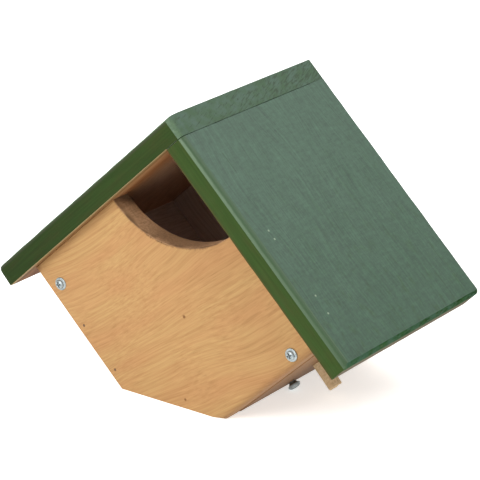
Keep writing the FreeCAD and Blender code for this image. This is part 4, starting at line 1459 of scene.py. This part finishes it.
def screw_head(tree, get, core):
    """Flanged head with a raised middle and a cross recess, over a cone if the screw has a collar."""
    radius = put(tree, "ShaderNodeMath", {0: get["Head"], 1: 0.5}, operation="MULTIPLY").outputs[0]
    middle = put(tree, "ShaderNodeMath", {0: get["Crown"], 1: 0.5}, operation="MULTIPLY").outputs[0]
    flange = drawn_pan(tree, radius, FLANGE, -0.42, 0.6)
    dome = drawn_pan(tree, middle, get["Height"], -0.3, 0.62)
    pan = put(tree, "GeometryNodeMeshBoolean", {
        "Mesh 2": [flange, dome]}, operation="UNION", solver="EXACT")
    deep = put(tree, "ShaderNodeMath", {0: get["Depth"], 1: 2.0}, operation="MULTIPLY").outputs[0]
    top = put(tree, "ShaderNodeCombineXYZ", {"Z": get["Height"]}).outputs[0]
    cutters = []
    for long, short in (("Recess", "Slot"), ("Slot", "Recess")):
        size = put(tree, "ShaderNodeCombineXYZ", {"X": get[long], "Y": get[short], "Z": deep})
        arm = put(tree, "GeometryNodeMeshCube", {"Size": size.outputs[0]})
        moved = put(tree, "GeometryNodeTransform", {
            "Geometry": arm.outputs["Mesh"], "Translation": top})
        cutters.append(moved.outputs["Geometry"])
    carved = put(tree, "GeometryNodeMeshBoolean", {
        "Mesh 1": pan.outputs["Mesh"], "Mesh 2": cutters}, operation="DIFFERENCE",
        solver="EXACT")
    wide = put(tree, "ShaderNodeMath", {0: radius, 1: 0.86}, operation="MULTIPLY").outputs[0]
    neck = put(tree, "GeometryNodeMeshCone", {
        "Vertices": 32, "Radius Bottom": core, "Radius Top": wide, "Depth": get["Collar"]})
    below = put(tree, "ShaderNodeMath", {
        0: get["Collar"], 1: -1.0}, operation="MULTIPLY").outputs[0]
    lowered = put(tree, "ShaderNodeCombineXYZ", {"Z": below})
    neck = put(tree, "GeometryNodeTransform", {
        "Geometry": neck.outputs["Mesh"], "Translation": lowered.outputs[0]})
    has_neck = put(tree, "FunctionNodeCompare", {
        "A": get["Collar"], "B": 0.1 * MM}, data_type="FLOAT")
    collar = put(tree, "GeometryNodeSwitch", {
        "Switch": has_neck.outputs[0], "True": neck.outputs["Geometry"]}, input_type="GEOMETRY")
    return put(tree, "GeometryNodeJoinGeometry", {
        "Geometry": [carved.outputs["Mesh"], collar.outputs[0]]}).outputs["Geometry"]


def threaded_end(tree, get, core):
    """The end of a screw from its tip up: a point, then a bar with the thread wound round it."""
    point = put(tree, "GeometryNodeMeshCone", {
        "Vertices": 24, "Radius Top": core, "Radius Bottom": SCREW_TIP, "Depth": SCREW_POINT})
    bar = put(tree, "GeometryNodeMeshCylinder", {
        "Vertices": 24, "Radius": core, "Depth": get["Thread"]})
    half = put(tree, "ShaderNodeMath", {
        0: get["Thread"], 1: 0.5, 2: SCREW_POINT}, operation="MULTIPLY_ADD")
    raised = put(tree, "ShaderNodeCombineXYZ", {"Z": half.outputs[0]})
    bar = put(tree, "GeometryNodeTransform", {
        "Geometry": bar.outputs["Mesh"], "Translation": raised.outputs[0]})
    coil = put(tree, "GeometryNodeCurveSpiral", {
        "Resolution": 20, "Rotations": get["Turns"], "Start Radius": core, "End Radius": core,
        "Height": get["Thread"]})
    edge = put(tree, "GeometryNodeCurvePrimitiveCircle", {"Resolution": 3, "Radius": THREAD_RIDGE})
    thread = put(tree, "GeometryNodeCurveToMesh", {
        "Curve": coil.outputs["Curve"], "Profile Curve": edge.outputs["Curve"], "Fill Caps": True})
    thread = put(tree, "GeometryNodeTransform", {
        "Geometry": thread.outputs["Mesh"], "Translation": (0, 0, SCREW_POINT)})
    return put(tree, "GeometryNodeJoinGeometry", {"Geometry": [
        point.outputs["Mesh"], bar.outputs["Geometry"], thread.outputs["Geometry"]]}).outputs["Geometry"]


def finish_tree(tree, end, shapes, material):
    """Ends a tree: the shapes made real, with their material."""
    real = put(tree, "GeometryNodeRealizeInstances", {"Geometry": shapes})
    done = put(tree, "GeometryNodeSetMaterial", {
        "Geometry": real.outputs["Geometry"], "Material": material})
    tree.links.new(done.outputs["Geometry"], end.inputs["Geometry"])
    return tree


def screw_tree():
    """Screws: a head and a plain shank on each seat point, a threaded end on each tip point."""
    sizes = ("Head", "Height", "Shank", "Recess", "Slot", "Depth", "Thread", "Turns", "Crown", "Collar")
    tree, start, end = start_tree("pan_head_screws", [
        *((size, "NodeSocketFloat") for size in sizes), ("Material", "NodeSocketMaterial")])
    get = start.outputs
    core = put(tree, "ShaderNodeMath", {0: get["Shank"], 1: 0.5}, operation="MULTIPLY").outputs[0]
    rod = put(tree, "GeometryNodeMeshCylinder", {"Vertices": 24, "Radius": core, "Depth": 1.0})
    hung = put(tree, "GeometryNodeTransform", {
        "Geometry": rod.outputs["Mesh"], "Translation": (0, 0, -0.5)}).outputs["Geometry"]
    stretch = put(tree, "GeometryNodeInputNamedAttribute", {"Name": "stretch"}, data_type="FLOAT")
    longer = put(tree, "ShaderNodeCombineXYZ", {
        "X": 1.0, "Y": 1.0, "Z": stretch.outputs["Attribute"]}).outputs[0]
    tips = put(tree, "GeometryNodeInputNamedAttribute", {"Name": "tip"}, data_type="BOOLEAN")
    tips = tips.outputs["Attribute"]
    seats = put(tree, "FunctionNodeBooleanMath", {0: tips}, operation="NOT").outputs[0]
    source = get["Geometry"]
    whole = put(tree, "GeometryNodeJoinGeometry", {"Geometry": [
        spread(tree, source, screw_head(tree, get, core), seats),
        spread(tree, source, hung, seats, longer),
        spread(tree, source, threaded_end(tree, get, core), tips)]})
    return finish_tree(tree, end, whole.outputs["Geometry"], get["Material"])


# Lengths along a pin: its point, its spread head and the bevel of its end.
PIN_POINT = 3 * MM
PIN_SPREAD = 1 * MM
PIN_BEVEL = 0.2 * MM

# Radius of a pin's blunt tip.
PIN_TIP = 0.1 * MM


def pin_tree():
    """Headless pins: a short point, a plain shank, a slightly spread head and a bevelled end."""
    tree, start, end = start_tree("panel_pins", [
        ("Width", "NodeSocketFloat"), ("Length", "NodeSocketFloat"),
        ("Material", "NodeSocketMaterial")])
    get = start.outputs
    wide = put(tree, "ShaderNodeMath", {0: get["Width"], 1: 0.5}, operation="MULTIPLY").outputs[0]
    thin = put(tree, "ShaderNodeMath", {0: get["Width"], 1: 0.44}, operation="MULTIPLY").outputs[0]
    shank = put(tree, "ShaderNodeMath", {
        0: get["Length"], 1: PIN_POINT + PIN_SPREAD + PIN_BEVEL}, operation="SUBTRACT").outputs[0]
    tip = put(tree, "ShaderNodeMath", {0: get["Length"], 1: -1.0}, operation="MULTIPLY").outputs[0]
    above = put(tree, "ShaderNodeMath", {0: tip, 1: PIN_POINT}, operation="ADD").outputs[0]
    cones = []
    for low, high, length, level in (
        (PIN_TIP, thin, PIN_POINT, tip), (thin, thin, shank, above),
        (thin, wide, PIN_SPREAD, -PIN_SPREAD - PIN_BEVEL), (wide, thin, PIN_BEVEL, -PIN_BEVEL),
    ):
        cone = put(tree, "GeometryNodeMeshCone", {
            "Vertices": 16, "Radius Bottom": low, "Radius Top": high, "Depth": length})
        lift = put(tree, "ShaderNodeCombineXYZ", {"Z": level})
        moved = put(tree, "GeometryNodeTransform", {
            "Geometry": cone.outputs["Mesh"], "Translation": lift.outputs[0]})
        cones.append(moved.outputs["Geometry"])
    pin = put(tree, "GeometryNodeJoinGeometry", {"Geometry": cones})
    rows = spread(tree, get["Geometry"], pin.outputs["Geometry"], True)
    return finish_tree(tree, end, rows, get["Material"])


def turn_to(aim, spin=0.0):
    """Angles that point a fastener's axis out along aim, spun about itself."""
    base = Vector((0, 0, 1)).rotation_difference(aim).to_matrix()
    return (base @ Matrix.Rotation(spin, 3, "Z")).to_euler()


class NESTBOX_OT_screws(Operator):
    """Make the zinc screws of the house, the door and the latch"""

    bl_idname = "nestbox.screws"
    bl_label = "Screws"

    def execute(self, context):
        use = context.scene.nest_box.fasteners
        zinc = plated("zinc_plated_steel", use.zinc, use.zinc_dull, 1.0, 0.5)
        tree = screw_tree()
        values = {
            "Head": use.head, "Height": use.height, "Shank": use.shank, "Recess": use.recess,
            "Slot": use.slot, "Depth": use.depth, "Thread": use.thread, "Turns": use.turns,
            "Material": zinc}
        for name, body, crown, collar, screws in (
            ("house_screws", "house", use.crown, 0.0, (
                ("left_front_screw", FRONT, 0.3), ("left_back_screw", WALL, 0.9))),
            ("pivot_screws", "door", use.crown, 0.0, (
                ("front_pivot_screw", FRONT, 0.5), ("back_pivot_screw", WALL, 0.2))),
            ("latch_screw", "latch", use.head, use.collar, (("door_latch_screw", LATCH_AXIS, 0.7),)),
        ):
            values.update(Crown=crown, Collar=collar)
            points = []
            for node, aim, spin in screws:
                head, tip = fastener_line(node, aim)
                seat = head - aim * use.height
                turn = turn_to(aim, spin)
                plain = (seat - tip).length - use.thread - SCREW_POINT
                points.append((seat, turn, plain, False))
                points.append((tip, turn, 1.0, True))
            piece = add_object(name, bake(name, tree, points, values), [zinc])
            hand_over(piece, body, "zinc", *[node for node, aim, spin in screws])
        return {"FINISHED"}


# How far a pin that shows stands out, and how far one that is closed over is sunk.
PIN_PROUD = 0.06 * MM
PIN_SUNK = 0.5 * MM


def pin_shows(node, head):
    """True for a pin whose paint is rubbed off, or that the wood hasn't closed over."""
    if node == "right_roof_pins":
        return head.y < 0
    return "panel" in node and in_side_board(head)


class NESTBOX_OT_pins(Operator):
    """Make the pins in the panels and the roof"""

    bl_idname = "nestbox.pins"
    bl_label = "Pins"

    def execute(self, context):
        use = context.scene.nest_box.fasteners
        rusty = plated("rusty_pin_steel", use.pin, use.pin, 0.6, 0.6)
        bright = plated("bare_pin_steel", use.bright_pin, use.bright_pin, 0.3, 0.5)
        tree = pin_tree()
        for name, finish, groups in (
            ("rusty_panel_pins", rusty, (("front_panel_pins", FRONT), ("back_panel_pins", WALL))),
            ("bare_roof_pins", bright, (
                ("left_roof_pins", LEFT_OUT), ("right_roof_pins", RIGHT_OUT),
                ("ridge_pins", LEFT_OUT))),
        ):
            points = []
            for node, aim in groups:
                for solid in islands(node):
                    head = line_of(solid, aim)[0]
                    lift = PIN_PROUD if pin_shows(node, head) else -PIN_SUNK
                    points.append((head + aim * lift, turn_to(aim), 1.0, False))
            values = {"Width": use.pin_width, "Length": use.pin_length, "Material": finish}
            piece = add_object(name, bake(name, tree, points, values), [finish])
            hand_over(piece, "house", "pin_steel", *[node for node, aim in groups])
        return {"FINISHED"}


# Size of the studio floor, from its middle to its edge.
FLOOR_REACH = 6.0


def studio_floor(use):
    """A plain white floor that glows a little, so that no dark shadow falls on it."""
    shape = bmesh.new()
    bmesh.ops.create_grid(shape, x_segments=1, y_segments=1, size=FLOOR_REACH)
    mesh = bpy.data.meshes.new("studio_floor")
    shape.to_mesh(mesh)
    shape.free()
    material, tree, shader = new_finish("white_studio_floor")
    for socket, setting in (
        ("Base Color", opaque(use.floor)), ("Roughness", 0.9), ("Specular IOR Level", 0.1),
        ("Emission Color", opaque(use.floor)), ("Emission Strength", use.floor_glow),
    ):
        shader.inputs[socket].default_value = setting
    return add_object("studio_floor", mesh, [material])


def studio_light(scene, use):
    """White walls all round, a soft box before the front and one over the roof."""
    world = bpy.data.worlds.new("studio_surround")
    world.use_nodes = True
    surround = world.node_tree.nodes["Background"]
    surround.inputs["Color"].default_value = opaque(use.sky)
    surround.inputs["Strength"].default_value = use.sky_strength
    scene.world = world
    target = Vector((0, 0, RIDGE.z / 2))
    for name, place, size, power in (
        ("key_soft_box", Vector((-0.2, -1.5, 1.0)), 1.0, use.key_power),
        ("top_soft_box", Vector((0.6, 0.5, 1.5)), 1.1, use.top_power),
    ):
        light = bpy.data.lights.new(name, "AREA")
        light.shape = "DISK"
        light.size = size
        light.energy = power
        lamp = bpy.data.objects.new(name, light)
        lamp.location = place
        lamp.rotation_euler = (target - place).to_track_quat("-Z", "Y").to_euler()
        scene.collection.objects.link(lamp)


def studio_camera(scene, use):
    """The camera, turned about its target to the photograph's viewing angle."""
    camera = bpy.data.cameras.new("camera")
    camera.lens = use.lens
    camera.sensor_width = 36
    camera.clip_end = 50
    eye = bpy.data.objects.new("camera", camera)
    round_box = Matrix.Rotation(use.azimuth, 4, "Z")
    down = Matrix.Rotation(math.pi / 2 - use.elevation, 4, "X")
    aside = Matrix.Rotation(use.roll, 4, "Z")
    away = Matrix.Translation((0, 0, use.distance))
    eye.matrix_world = Matrix.Translation(use.target) @ round_box @ down @ aside @ away
    scene.collection.objects.link(eye)
    scene.camera = eye


class NESTBOX_OT_stage(Operator):
    """Set the pale floor, the soft studio light and the camera"""

    bl_idname = "nestbox.stage"
    bl_label = "Stage"

    def execute(self, context):
        scene = context.scene
        use = scene.nest_box.stage
        scene.view_settings.view_transform = "Standard"
        studio_floor(use)
        studio_light(scene, use)
        studio_camera(scene, use)
        return {"FINISHED"}


STEPS = (
    NESTBOX_OT_stage, NESTBOX_OT_roof_boards, NESTBOX_OT_front_panel, NESTBOX_OT_bare_boards,
    NESTBOX_OT_pull_peg, NESTBOX_OT_screws, NESTBOX_OT_pins,
)


class NESTBOX_PT_sidebar(Panel):
    """Lists the steps that make the nest box"""

    bl_idname = "NESTBOX_PT_sidebar"
    bl_label = "Nest box"
    bl_space_type = "VIEW_3D"
    bl_region_type = "UI"
    bl_category = "Nest box"

    def draw(self, context):
        for step in STEPS:
            self.layout.operator(step.bl_idname)


CLASSES = (
    RoofSettings, WoodSettings, FastenerSettings, StageSettings, NestBoxSettings,
    *STEPS, NESTBOX_PT_sidebar,
)


def register():
    for item in CLASSES:
        bpy.utils.register_class(item)
    bpy.types.Scene.nest_box = PointerProperty(
        name="Nest box", description="Settings of the nest box", type=NestBoxSettings)


def unregister():
    del bpy.types.Scene.nest_box
    for item in reversed(CLASSES):
        bpy.utils.unregister_class(item)


def main():
    register()
    bpy.ops.nestbox.stage()
    bpy.ops.nestbox.roof_boards()
    bpy.ops.nestbox.front_panel()
    bpy.ops.nestbox.bare_boards()
    bpy.ops.nestbox.pull_peg()
    bpy.ops.nestbox.screws()
    bpy.ops.nestbox.pins()


if __name__ == "__main__":
    main()
